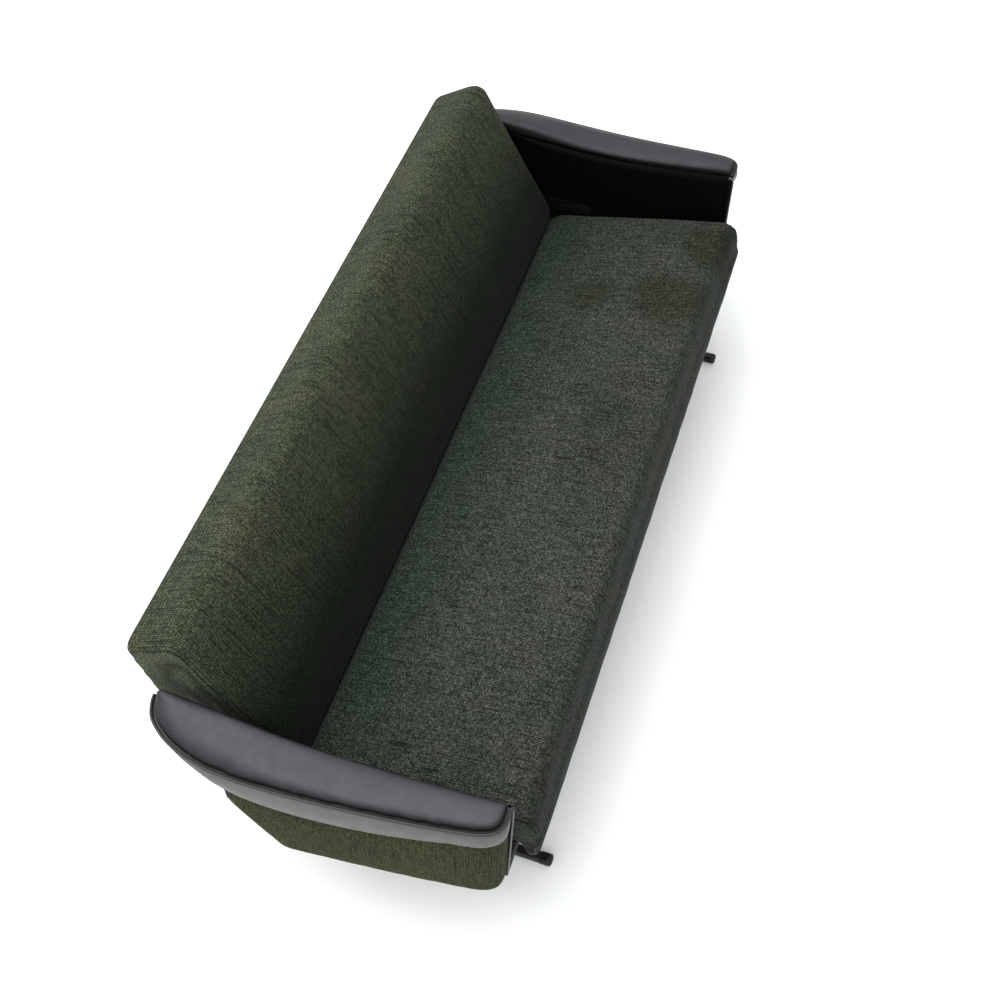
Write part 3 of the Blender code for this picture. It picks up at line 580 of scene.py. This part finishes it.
def stuff(obj, voxel, shrink, cap, held, rounds, even=0):
    """Blows a cover up like a filled cushion: an even mesh drawn in by shrink, then cloth under pressure.

    held(points) gives 1 where the cover is fastened down and 0 where it is free. It ends up no more than cap
    outside its start and no more than SINK inside. shrink is a length, or a function of the points. rounds is
    how often the start is relaxed. The movement is averaged even times over neighbours, against wrinkles.
    """
    remesh = obj.modifiers.new("even", "REMESH")
    remesh.mode = "VOXEL"
    remesh.voxel_size = voxel
    apply_modifiers(obj)
    relax(obj.data, rounds)
    start = places(obj.data)
    start -= normals(obj.data) * (shrink(start)[:, None] if callable(shrink) else shrink)
    set_places(obj.data, start)
    out = normals(obj.data)
    pins = obj.vertex_groups.new(name="fastened")
    for weight in (0.5, 1.0):
        chosen = np.nonzero(held(start) >= weight)[0]
        pins.add([int(i) for i in chosen], weight, "REPLACE")
    cloth = obj.modifiers.new("cover", "CLOTH")
    settings = cloth.settings
    settings.quality = 4
    settings.mass = 0.3
    settings.tension_stiffness = settings.compression_stiffness = 14
    settings.shear_stiffness = 8
    settings.bending_stiffness = 1.5
    settings.use_pressure = True
    settings.uniform_pressure_force = PRESSURE
    settings.effector_weights.gravity = 0
    settings.vertex_group_mass = "fastened"
    cloth.collision_settings.use_collision = False
    cloth.point_cache.frame_start, cloth.point_cache.frame_end = 1, SIM_FRAMES
    scene = bpy.context.scene
    for number in range(1, SIM_FRAMES + 1):
        scene.frame_set(number)
    graph = bpy.context.evaluated_depsgraph_get()
    moved = places(obj.evaluated_get(graph).data) - start
    obj.modifiers.clear()
    scene.frame_set(1)
    length = np.linalg.norm(moved, axis=1, keepdims=True) + 1e-9
    moved *= cap * np.tanh(length / cap) / length
    moved = average(obj.data, moved, even)
    rise = np.sum(moved * out, axis=1, keepdims=True)
    set_places(obj.data, start + moved + out * (np.maximum(rise, -SINK) - rise))
    return obj


def refine(obj):
    """One subdivision of a soft piece."""
    obj.modifiers.new("smooth", "SUBSURF").levels = 1
    apply_modifiers(obj)


def ripple(obj, depth, size, free, seed):
    """Slight unevenness of the filling, along the normals and only where free(points) is above 0."""
    points, out, room = places(obj.data), normals(obj.data), free(places(obj.data))
    for i in np.nonzero(room > 0)[0]:
        x, y, z = points[i]
        wave_at = noise.noise(Vector((x / size[0] + seed, y / size[1], z / size[2])))
        points[i] += out[i] * wave_at * depth * room[i]
    set_places(obj.data, points)


def sew(obj, axis, values, depth, half_width):
    """Sewn seams: grooves where the surface crosses the planes at the given values of axis 0, 1 or 2."""
    bm = bmesh.new()
    bm.from_mesh(obj.data)
    direction = Vector([1.0 if k == axis else 0.0 for k in range(3)])
    for value in values:
        for offset in (-half_width, 0.0, half_width):
            everything = bm.verts[:] + bm.edges[:] + bm.faces[:]
            bmesh.ops.bisect_plane(bm, geom=everything, dist=1e-6, plane_co=direction * (value + offset),
                                   plane_no=direction)
    bm.normal_update()
    for vert in bm.verts:
        if min(abs(vert.co[axis] - value) for value in values) < 1e-5:
            vert.co -= vert.normal * depth
    bm.to_mesh(obj.data)
    bm.free()
    obj.data.shade_smooth()


# ---------------------------------------------------------------- seat and back panels

def with_ends(mesh, outline, x0, x1):
    """Adds a slab of the given outline, from x0 to x1, at both ends of a cushion's mesh."""
    bm = bmesh.new()
    bm.from_mesh(mesh)
    for sign in SIDES.values():
        rows = [[bm.verts.new((sign * x, p.x, p.y)) for p in outline] for x in (x0, x1)]
        count = len(outline)
        faces = [bm.faces.new((rows[0][k], rows[0][(k + 1) % count], rows[1][(k + 1) % count], rows[1][k]))
                 for k in range(count)]
        faces += [bm.faces.new(rows[0]), bm.faces.new(rows[1])]
        bmesh.ops.recalc_face_normals(bm, faces=faces)
    bm.to_mesh(mesh)
    bm.free()
    return mesh


def seat_shrink(p):
    """How far the seat's cover starts inside its shape: out over the lip, the ends and the crease."""
    lip = (1 - step(p[:, 1], -0.075, -0.02)) * (1 - step(p[:, 2], 0.02, 0.08))
    out_most = np.maximum(step(p[:, 1], 0.38, 0.44), lip)
    return 0.0030 - 0.0055 * np.maximum(out_most, 0.7 * step(np.abs(p[:, 0]), 0.86, 0.90))


def back_shrink(p):
    """How far the back's cover starts inside its shape: out over the top lip, the ends and the crease."""
    out_most = np.maximum(1 - step(p[:, 1], 0.02, 0.08), 1.4 * step(p[:, 1], 0.40, 0.47))
    return 0.0020 - 0.0045 * np.maximum(out_most, 1.1 * step(np.abs(p[:, 0]), 0.86, 0.90))


def build_seat_cushion():
    """Seat cover: the cushion with the cloth that is drawn down over its lip and both ends of its frame."""
    ends = corner([(0.012, -0.030), (0.012, 0.0048), (-0.0375, 0.0048), (-0.031, -0.055), (-0.066, -0.052),
                   (-0.080, 0.119), (0.418, 0.119), (0.458, 0.082), (0.458, -0.030)],
                  [0.004, 0.004, 0.004, 0.010, 0.010, 0.038, 0.03, 0.02, 0.004])
    lip = corner([(-0.036, 0.020), (-0.031, -0.055), (-0.066, -0.052), (-0.078, 0.020)],
                 [0.003, 0.010, 0.012, 0.003])
    mesh = with_ends(node_mesh("seat_cushion", SEAT_FRAME), ends, *SEAT_END)
    obj = make_object("seat_cushion_cover", with_ends(mesh, lip, *LIP))

    def held(p):
        return np.maximum(1 - step(p[:, 2], UNDERSIDE + 0.004, UNDERSIDE + 0.012), step(p[:, 1], 0.43, 0.456))

    stuff(obj, CUSHION_GRID, seat_shrink, CUSHION_PUFF, held, 3)
    refine(obj)
    points = places(obj.data)
    corners = step(np.abs(points[:, 0]), 0.70, 0.89) * (1 - step(points[:, 1], -0.08, 0.02))
    corners *= step(points[:, 2], -0.02, 0.03)
    points[:, 1] -= 0.012 * corners
    set_places(obj.data, points)
    ripple(obj, 0.0022, (0.34, 0.22, 0.5), lambda p: step(p[:, 2], 0.06, 0.12), 4.0)
    ripple(obj, 0.0010, (0.045, 0.16, 0.10), lambda p: 1 - step(p[:, 1], -0.075, -0.02), 9.0)
    sew(obj, 0, (-SEAT_SEAM, SEAT_SEAM), 0.0014, 0.0030)
    obj.matrix_world = SEAT_FRAME
    mount(obj, "seat", "weave_green", LOOKS["seat"], "seat_cushion")


def build_back_cushion():
    """Back cover: the cushion with the cloth that goes on over the ends of its frame to the rear cover."""
    ends = corner([(0.006, -0.070), (0.012, -0.004), (0.046, 0.034), (0.482, 0.034), (0.470, -0.118),
                   (0.440, -0.126), (0.330, -0.152), (0.120, -0.146), (0.010, -0.124)],
                  [0.01, 0.012, 0.02, 0.042, 0.012, 0.010, 0.08, 0.08, 0.008])
    obj = make_object("back_cushion_cover", with_ends(node_mesh("back_cushion", BACK_FRAME), ends, *BACK_END))

    def held(p):
        rear = step(p[:, 2], -0.0760, -0.0680) * (p[:, 1] < 0.44)
        return np.maximum(1 - rear, 1 - step(p[:, 1], 0.006, 0.03))

    stuff(obj, CUSHION_GRID, back_shrink, CUSHION_PUFF, held, 3)
    refine(obj)
    ripple(obj, 0.0022, (0.40, 0.20, 0.5), lambda p: step(p[:, 2], -0.03, 0.03), 1.0)
    sew(obj, 0, (-BACK_SEAM, BACK_SEAM), 0.0012, 0.0030)
    obj.matrix_world = BACK_FRAME
    mount(obj, "back", "weave_green", LOOKS["back"], "back_cushion")


def build_rear_cover():
    """Rear cover, with a hem that reaches over the edges of the back frame."""
    hem = corner([(0.0005, -0.112), (0.0005, -0.127), (0.452, -0.127), (0.452, -0.112)], [0.002] * 4, 2)
    mesh = with_ends(node_mesh("back_rear_cover", BACK_FRAME), hem, *HEM)
    obj = make_object("back_rear_cover_cloth", mesh)
    stuff(obj, 0.0115, 0.0020, 0.0070, lambda p: step(p[:, 2], -0.1235, -0.1205), 3)
    refine(obj)
    ripple(obj, 0.0016, (0.30, 0.16, 0.5), lambda p: 1 - step(p[:, 2], -0.150, -0.125), 6.0)
    obj.matrix_world = BACK_FRAME
    mount(obj, "back", "weave_green", LOOKS["back"], "back_rear_cover")


def build_rail_cover():
    """The front rail's cover, padded out in front and pulled round below it."""
    top, bottom, behind = 0.3155, 0.2640, 0.0190
    shape = corner([(-0.0010, top), (-0.0020, 0.290), (-0.0010, bottom), (behind, bottom), (behind, top)],
                   [0.004, 0.02, 0.008, 0.005, 0.004])
    rings = [[(RAIL_HALF * k / 100, FRONT_Y + p.x, p.y) for p in shape] for k in range(-100, 101)]
    obj = loft("front_rail_cover", rings)
    ripple(obj, 0.0006, (0.11, 0.05, 0.03), lambda p: 1 - step(p[:, 2], 0.300, 0.310), 7.0)
    mount(obj, "base", "weave_green", LOOKS["rail"], "front_rail")


def build_crease_roll():
    """A roll of cover cloth along the fold's own axis, which closes the crease in every position. Its
    near-black colour is painted shade of the fold.
    """
    obj = tube("crease_roll", [Vector((0.0094 * k, 0, 0)) for k in range(-95, 96)], CREASE_RADIUS, 14)
    ripple(obj, 0.0006, (0.02, 0.02, 0.02), lambda p: np.ones(len(p)), 5.0)
    obj.matrix_world = BACK_FRAME
    mount(obj, "seat", "weave_green", LOOKS["crease"])


# ---------------------------------------------------------------- arms

def arm_edge(d):
    """Height of the arm's upper edge."""
    return ARM_TOP - ARM_DIP * math.sin(math.pi * d / ARM_DIP_SPAN)


def arm_path(per_span):
    """Plan of the arm's upper edge as (x, d): across the front, along the bowed side, round the rear tip."""
    return smooth_line([
        (ARM_INNER, 0.000), (0.955, 0.000), (0.980, 0.003), (0.998, 0.020), (1.010, 0.060), (1.023, 0.180),
        (1.034, 0.320), (1.043, 0.460), (1.044, 0.560), (1.036, 0.630), (1.016, 0.690), (0.985, 0.735),
        (0.955, 0.752), (ARM_INNER, ARM_DEPTH),
    ], per_span)


def outward(path, i):
    along = (path[min(i + 1, len(path) - 1)] - path[max(i - 1, 0)]).normalized()
    return Vector((along.y, -along.x))


def arm_width(d, inset):
    """How far out the plan outline, drawn in by inset, reaches at depth d."""
    path = arm_path(6)
    drawn = [p - outward(path, i) * inset for i, p in enumerate(path)]
    side = [p for p in drawn if p.x > 0.97 or p.y > 0.5]
    for a, b in zip(side, side[1:]):
        if a.y <= d <= b.y:
            return a.x + (b.x - a.x) * (d - a.y) / (b.y - a.y)
    return side[0].x if d < side[0].y else side[-1].x


def band_height(x, d):
    """Height of the side band: low at the inner front corner, full along the side, low at the tip."""
    full = 0.060 + 0.030 * math.sin(math.pi * min(max((d - 0.10) / 0.52, 0.0), 1.0))
    full += (0.012 - full) * ease(d, 0.52, 0.72)
    return full if d > 0.10 else 0.012 + (full - 0.012) * ease(x, ARM_INNER, 0.992)


def arm_under(d):
    """Underside of the arm, rising steeply behind the heel."""
    return ARM_FLOOR - ARM_FLOOR_FALL * d + max(d - ARM_HEEL, 0.0) * ARM_HEEL_RISE


def strip_rings(path, section):
    """Rings along the plan path of a right arm. section(x, d) gives (outward offset, height) points."""
    rings = []
    for i, point in enumerate(path):
        normal = outward(path, i)
        ring = []
        for offset, height in section(point.x, point.y):
            place = point + normal * offset
            ring.append((max(place.x, ARM_INNER), FRONT_Y + place.y, height))
        rings.append(ring)
    return rings


def inner_rise(d):
    """How much higher than the outer edge the pad's inner edge lies."""
    return INNER_RISE * ease(d, 0.25, 0.62)


def arm_pad():
    """The crowned top pad, plump across and rolled over at its edges and ends."""
    rings, stations, count = [], 64, 22
    for k in range(stations + 1):
        d = 0.0050 + (ARM_DEPTH - 0.0100) * (0.5 - 0.5 * math.cos(math.pi * k / stations))
        inner = ARM_INNER + 0.0008 - 0.006 * ease(d, 0.45, 0.70)
        width = max(arm_width(d, 0.0045) - inner, 0.004)
        end = min(1.0, d / 0.026, (ARM_DEPTH - d) / 0.060)
        rise = (0.0035 + PAD_CROWN) * math.sqrt(1 - (1 - end) ** 2) * min(1.0, width / 0.055)
        ring = []
        for j in range(count + 1):
            angle = math.pi * j / count
            across = math.copysign(abs(math.cos(angle)) ** 0.62, math.cos(angle))
            x = inner + width * (1 - across) / 2
            swell = rise * (1 - 0.16 * ((x - inner) / 0.11 - 0.35))
            share = 1 - (x - inner) / width
            swell += PAD_TILT * ease(d, 0.40, 0.62) * min(1.0, end * 5) * share
            lift = swell * math.sin(angle) ** 0.72
            ring.append((x, FRONT_Y + d, arm_edge(d) + inner_rise(d) * share + max(lift, 0.0004)))
        ring += [(inner + width * t, FRONT_Y + d, arm_edge(d) + inner_rise(d) * (1 - t) - 0.0030)
                 for t in (1.0, 0.5, 0.0)]
        rings.append(ring)
    return loft("arm_pad_cover", rings)


def band_section(x, d):
    top = arm_edge(d) - PIPING - 0.0012
    low = arm_edge(d) - band_height(x, d)
    tall = top - low
    bulge = 0.0080 * min(1.0, tall / 0.05)
    outer = [(bulge * math.sin(math.pi * (0.06 + 0.90 * t)) ** 0.7 - 0.0010, top - tall * t)
             for t in (0.0, 0.04, 0.12, 0.25, 0.40, 0.55, 0.70, 0.84, 0.94, 1.0)]
    return [(-0.0120, top)] + outer + [(-0.0040, low - 0.0006), (-0.0120, low)]


def panel_section(x, d):
    top = arm_edge(d) - band_height(x, d) + 0.0030
    low = arm_under(d - 0.016 * ease(d, 0.35, 0.50)) - 0.018 + 0.024 * d
    tall = top - low
    outer = [(-0.0040 + 0.0045 * math.sin(math.pi * t) ** 0.6, top - tall * t)
             for t in (0.0, 0.06, 0.16, 0.30, 0.45, 0.60, 0.75, 0.88, 0.97)]
    return [(-0.0150, top)] + outer + [(-0.0060, low), (-0.0160, low)]


def arm_lining():
    """Leatherette over the inner face up to the pad, reaching down to the front rail at the front."""
    rings = []
    for k in range(61):
        d = 0.0002 + LINING_DEPTH * k / 60
        top = arm_edge(d) + inner_rise(d) - 0.0035
        floor = min(arm_under(d), arm_under(ARM_HEEL)) + 0.001
        low = LINING_FLOOR + (floor - LINING_FLOOR) * ease(d, 0.021, 0.028)
        for (z0, d0), (z1, d1) in zip(LINING_REAR, LINING_REAR[1:]):
            if d0 < d <= d1:
                low = z0 + (z1 - z0) * (d - d0) / (d1 - d0)
        if d >= LINING_REAR[-1][1]:
            low = top
        low = min(low, top - 0.020 + 0.008 * ease(d, 0.66, 0.74))
        swell = 0.0016 * abs(math.sin(math.pi * min(d / LINING_DEPTH, 1.0))) ** 0.5
        inner = [(ARM_INNER + 0.0012 - swell * math.sin(math.pi * t), low + (top - low) * t)
                 for t in (0.0, 0.08, 0.25, 0.50, 0.75, 0.92, 1.0)]
        ring = inner + [(ARM_INNER + 0.0070, top), (ARM_INNER + 0.0070, low)]
        rings.append([(x, FRONT_Y + d, z) for x, z in ring])
    return loft("arm_lining_cover", rings)


def front_strip():
    """The lining's turn-over on the arm's front face, with the slanting edge that the trim follows."""
    rings = []
    inner = ARM_INNER + 0.0002
    for k in range(25):
        t = k / 24
        z = STRIP_FOOT + (arm_edge(0) - 0.0150 - STRIP_FOOT) * t
        outer = 0.9560 - 0.0215 * t
        middle = (ARM_INNER + outer) / 2
        rings.append([(x, FRONT_Y + d, z) for x, d in (
            (inner, 0.0150), (inner, 0.0012), (ARM_INNER + 0.0030, -0.0008), (middle, -0.0014),
            (outer - 0.0010, -0.0006), (outer, 0.0030), (outer, 0.0150))])
    return loft("arm_front_strip", rings)


def arm_body():
    """Black cloth over the arm's core, seen from behind and below."""
    rings = []
    for k in range(29):
        d = BODY_START + BODY_DEPTH * k / 28
        outer = arm_width(d, 0.0150) - 0.0060 * ease(d, 0.60, 0.70)
        top = arm_edge(d) - 0.0035
        low = min(arm_under(d) + 0.0008, arm_edge(d) - 0.022 + 0.009 * ease(d, 0.66, 0.73))
        inner = ARM_INNER + 0.0060
        middle = (inner + outer) / 2
        sag = 0.0016 * math.sin(math.pi * k / 28)
        rings.append([(x, FRONT_Y + d, z) for x, z in (
            (inner, low + 0.004), (inner + 0.004, low), (middle, low - sag), (outer - 0.004, low),
            (outer, low + 0.004), (outer, top), (inner, top))])
    return loft("arm_body_cloth", rings)


def mirrored(obj, name):
    """The left arm's twin of a piece modelled for the right arm."""
    mesh = obj.data.copy()
    mesh.transform(Matrix.Scale(-1, 4, (1, 0, 0)))
    mesh.flip_normals()
    return make_object(name, mesh)


def pair(obj, base, slot, look, fill=None, *nodes):
    """Finishes a right arm's piece and its left twin.

    fill is not used. nodes are name stems of the CAD nodes that the pieces replace.
    """
    obj.name = base + "_right"
    for side, twin in (("right", obj), ("left", mirrored(obj, base + "_left"))):
        mount(twin, "base", slot, look, *[node + "_" + side for node in nodes])


def build_arms():
    def top_edge(p):
        return ARM_TOP - ARM_DIP * np.sin(np.pi * (p[:, 1] - FRONT_Y) / ARM_DIP_SPAN)

    pad = arm_pad()
    stuff(pad, 0.0046, 0.0008, 0.0026, lambda p: 1 - step(p[:, 2] - top_edge(p), 0.0005, 0.0030), 8, 50)
    refine(pad)
    relax(pad.data, 8)
    ripple(pad, 0.0009, (0.05, 0.09, 0.2), lambda p: step(p[:, 2] - top_edge(p), 0.004, 0.012), 2.0)
    pair(pad, "arm_pad_cover", "leatherette", LOOKS["leatherette"], 0.7, "arm_pad")

    path = arm_path(8)
    band = loft("arm_band_cover", strip_rings(path, band_section))
    ripple(band, 0.0006, (0.06, 0.06, 0.03), lambda p: np.ones(len(p)), 3.0)
    pair(band, "arm_band_cover", "leatherette", LOOKS["band"], 0.9, "arm_band")

    line = [p for p in path if p.y < PANEL_END and (p.x > 0.9470 or p.y > 0.1)]
    panel = loft("arm_panel_cover", strip_rings(line, panel_section))
    stuff(panel, 0.0066, 0.0004, 0.0024, lambda p: (p[:, 0] < 0.0) * 1.0, 2)
    refine(panel)
    pair(panel, "arm_panel_cover", "weave_olive", LOOKS["olive"], 0.6, "arm_outer_panel")

    pair(arm_lining(), "arm_lining_cover", "leatherette_black", LOOKS["lining"], 0.4, "arm_inner_lining")
    pair(front_strip(), "arm_front_strip", "leatherette_black", LOOKS["lining"], 0.4)
    pair(arm_body(), "arm_body_cloth", "leatherette_black", LOOKS["lining"], 0.5, "arm_core")

    edge = [Vector((max(p.x, ARM_INNER + PIPING), FRONT_Y + p.y, arm_edge(p.y) + 0.0002)) for p in path[2:-1]]
    piping = tube("arm_edge_piping", edge, PIPING, 12)
    pair(piping, "arm_edge_piping", "piping", LOOKS["piping"], None, "arm_piping")

    foot, head = [Vector((x, FRONT_Y - 0.0016, z)) for x, z in (TRIM_FOOT, TRIM_HEAD)]
    trim = tube("arm_edge_trim", [foot.lerp(head, k / 20) for k in range(21)], 0.0022, 10)
    pair(trim, "arm_edge_trim", "trim", LOOKS["trim"], None, "arm_front_trim")


# ---------------------------------------------------------------- fittings

def panel_box(node, panel):
    """(lowest, highest) corner of a CAD node in a panel's flat frame."""
    points = places(node_mesh(node, panel))
    return Vector(points.min(axis=0)), Vector(points.max(axis=0))


def add_turned(bm, place, out, profile, sides=20):
    """Adds a turned or many-sided solid. profile is (distance along out, radius) from its foot to its top."""
    out = Vector(out).normalized()
    across = out.orthogonal().normalized()
    other = out.cross(across)
    rows = []
    for along, radius in profile:
        centre = Vector(place) + out * along
        rows.append([bm.verts.new(centre + (across * math.cos(2 * math.pi * k / sides)
                                            + other * math.sin(2 * math.pi * k / sides)) * radius)
                     for k in range(sides)])
    for a, b in zip(rows, rows[1:]):
        for k in range(sides):
            bm.faces.new((a[k], a[(k + 1) % sides], b[(k + 1) % sides], b[k]))
    bm.faces.new(rows[0][::-1])
    bm.faces.new(rows[-1])


def add_bolt(bm, place, out):
    """A hexagon head on a washer."""
    add_turned(bm, place, out, [(0.0, 0.0074), (0.0010, 0.0074), (0.0012, 0.0070)])
    hexagon = [(0.0012, 0.0052), (0.0012, 0.0056), (0.0044, 0.0056), (0.0050, 0.0048)]
    add_turned(bm, place, out, hexagon, 6)


def add_screw(bm, place, out):
    """A low domed screw head with a sunk middle."""
    profile = ((0.0, 0.0048), (0.5, 0.0046), (0.9, 0.0034), (1.0, 0.0022), (0.9, 0.0018), (0.35, 0.0012))
    add_turned(bm, place, out, [(SCREW_HEIGHT * share, radius) for share, radius in profile])


def heads(name, spots, add, body, look, panel=None):
    """One piece with a head at each (place, out), given in the shared frame or in a panel's flat one."""
    bm = bmesh.new()
    for place, out in spots:
        add(bm, place, out)
    mesh = mesh_from(name, bm)
    mesh.shade_flat()
    obj = make_object(name, mesh)
    if panel:
        obj.matrix_world = panel
    mount(obj, body, "zinc_steel", LOOKS[look])


def build_heads():
    """Bolts in the arm brackets and screws in the guide plates, rail hinge leaves and back hinge plates."""
    for side, sign in SIDES.items():
        bolts = []
        for end in ("front", "rear"):
            low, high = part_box("arm_bracket_" + end + "_" + side)
            x = sign * BRACKET_X
            bolts += [((x, high.y - 0.0105, low.z + 0.004), (0, 0, 1)),
                      ((x, low.y + 0.0150, high.z - 0.004), (0, 0, -1))]
        heads("bracket_bolts_" + side, bolts, add_bolt, "base", "zinc")
        low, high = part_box("guide_plate_" + side)
        face = high.x if sign < 0 else low.x
        middle = (low.z + high.z) / 2
        screws = [((face, FRONT_Y + d, middle), (-sign, 0, 0)) for d in GUIDE_SCREWS]
        heads("guide_plate_screws_" + side, screws, add_screw, "base", "blued")
        low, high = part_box("rail_hinge_leaf_" + side)
        screws = [((sign * RAIL_LEAF_X + x, low.y + 0.0014, low.z + 0.008), (0, 1, 0)) for x in LEAF_SCREWS]
        heads("rail_leaf_screws_" + side, screws, add_screw, "base", "zinc")
        low, high = panel_box("back_hinge_plate_" + side, BACK_FRAME)
        outer = low.x if sign < 0 else high.x
        screws = [((outer, y, BACK_SCREW_HEIGHT), (sign, 0, 0)) for y in BACK_SCREWS]
        heads("back_plate_screws_" + side, screws, add_screw, "back", "blued", BACK_FRAME)


def rounded_square(half_x, half_z, radius):
    """A rectangle's outline with rounded corners, as (u, v) points about its middle."""
    ring = []
    for k, (sx, sz) in enumerate(((1, 1), (-1, 1), (-1, -1), (1, -1))):
        for j in range(5):
            angle = math.pi / 2 * (k + j / 4)
            ring.append((sx * (half_x - radius) + radius * math.cos(angle),
                         sz * (half_z - radius) + radius * math.sin(angle)))
    return ring


def build_caps():
    """Plastic caps on the ends of the floor runners and plugs in the ends of the cross tubes."""
    nose = ((-0.020, 0.0), (0.0035, 0.0), (0.0062, 0.0014), (0.0078, 0.0042), (0.0084, 0.0078))
    stopper = ((-0.003, 0.0014), (0.0002, 0.0010), (0.0016, 0.0014), (0.0022, 0.0034))
    for side, sign in SIDES.items():
        low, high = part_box("floor_runner_" + side)
        centre_x, centre_z = (low.x + high.x) / 2, (low.z + high.z) / 2
        for end, y, way in (("front", low.y, -1), ("rear", high.y, 1)):
            rings = []
            for along, inset in nose:
                half_x, half_z = (high.x - low.x) / 2 + 0.0012 - inset, (high.z - low.z) / 2 + 0.0006 - inset
                shape = rounded_square(half_x, half_z, min(0.0070, half_z * 0.9))
                rings.append([(centre_x + u, y + way * along, centre_z + 0.0006 + v) for u, v in shape])
            cap = loft("runner_cap_" + end + "_" + side, rings)
            mount(cap, "base", "black_rubber", LOOKS["cap"])
        for tube_name in ("front_cross_tube", "rear_cross_tube"):
            low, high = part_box(tube_name)
            middle = (low + high) / 2
            face = high.x if sign > 0 else low.x
            rings = []
            for along, inset in stopper:
                half = CROSS_TUBE_HALF - inset
                shape = rounded_square(half, half, 0.0030)
                rings.append([(face + sign * along, middle.y + u, middle.z + v) for u, v in shape])
            plug = loft(tube_name + "_plug_" + side, rings)
            mount(plug, "base", "black_rubber", LOOKS["cap"])


# ---------------------------------------------------------------- stage

def make_stage():
    """Pale plain floor and a soft sky that is brightest on one side."""
    bpy.ops.mesh.primitive_plane_add(size=60, location=(0, 0, 0))
    floor = bpy.context.object
    floor.name = "floor"
    look = Look("pale_floor", roughness=0.6, Specular_IOR_Level=0.2)
    tone = look.ramp(look.noise(0.8, 3.0), (0.3, (0.88, 0.88, 0.87)), (0.7, (0.92, 0.92, 0.91)))
    look.set("Base Color", tone)
    paint(floor, look.material)
    world = bpy.data.worlds.new("studio")
    bpy.context.scene.world = world
    world.use_nodes = True
    tree = world.node_tree
    ray = tree.nodes.new("ShaderNodeTexCoord").outputs["Generated"]
    facing = tree.nodes.new("ShaderNodeVectorMath")
    facing.operation = "DOT_PRODUCT"
    tree.links.new(ray, facing.inputs[0])
    facing.inputs[1].default_value = Vector(SKY_BRIGHT).normalized()
    ramp = tree.nodes.new("ShaderNodeMapRange")
    tree.links.new(facing.outputs["Value"], ramp.inputs["Value"])
    for socket, value in (("From Min", -0.4), ("From Max", 1.0), ("To Min", SKY[0]), ("To Max", SKY[1])):
        ramp.inputs[socket].default_value = value
    background = tree.nodes["Background"]
    background.inputs["Color"].default_value = (0.97, 1.0, 1.0, 1.0)
    tree.links.new(ramp.outputs["Result"], background.inputs["Strength"])


def add_softbox(name, place, aim, size, power):
    data = bpy.data.lights.new(name, "AREA")
    data.shape = "RECTANGLE"
    data.size, data.size_y = size
    data.energy = power
    light = make_object(name, data)
    light.location = place
    light.rotation_euler = (Vector(aim) - Vector(place)).to_track_quat("-Z", "Y").to_euler()


def make_camera():
    azimuth, elevation = math.radians(CAMERA_AZIMUTH), math.radians(CAMERA_ELEVATION)
    back = Vector((math.sin(azimuth) * math.cos(elevation), -math.cos(azimuth) * math.cos(elevation),
                   math.sin(elevation)))
    data = bpy.data.cameras.new("camera")
    data.lens = CAMERA_LENS
    data.sensor_width = 36
    data.clip_end = 100
    camera = make_object("camera", data)
    turn = (-back).to_track_quat("-Z", "Y").to_matrix().to_4x4()
    roll = Matrix.Rotation(math.radians(CAMERA_ROLL), 4, "Z")
    camera.matrix_world = Matrix.Translation(CAMERA_PLACE) @ turn @ roll
    bpy.context.scene.camera = camera
    bpy.context.scene.view_settings.view_transform = "Standard"


LOOKS = make_looks()
make_stage()
add_softbox("overhead", (-0.6, 1.1, 3.6), (0, 0.1, 0.3), (4.0, 3.0), 90)
make_camera()
build_seat_cushion()
build_back_cushion()
build_rear_cover()
build_crease_roll()
build_rail_cover()
build_arms()
build_heads()
build_caps()
dress_nodes(LOOKS)
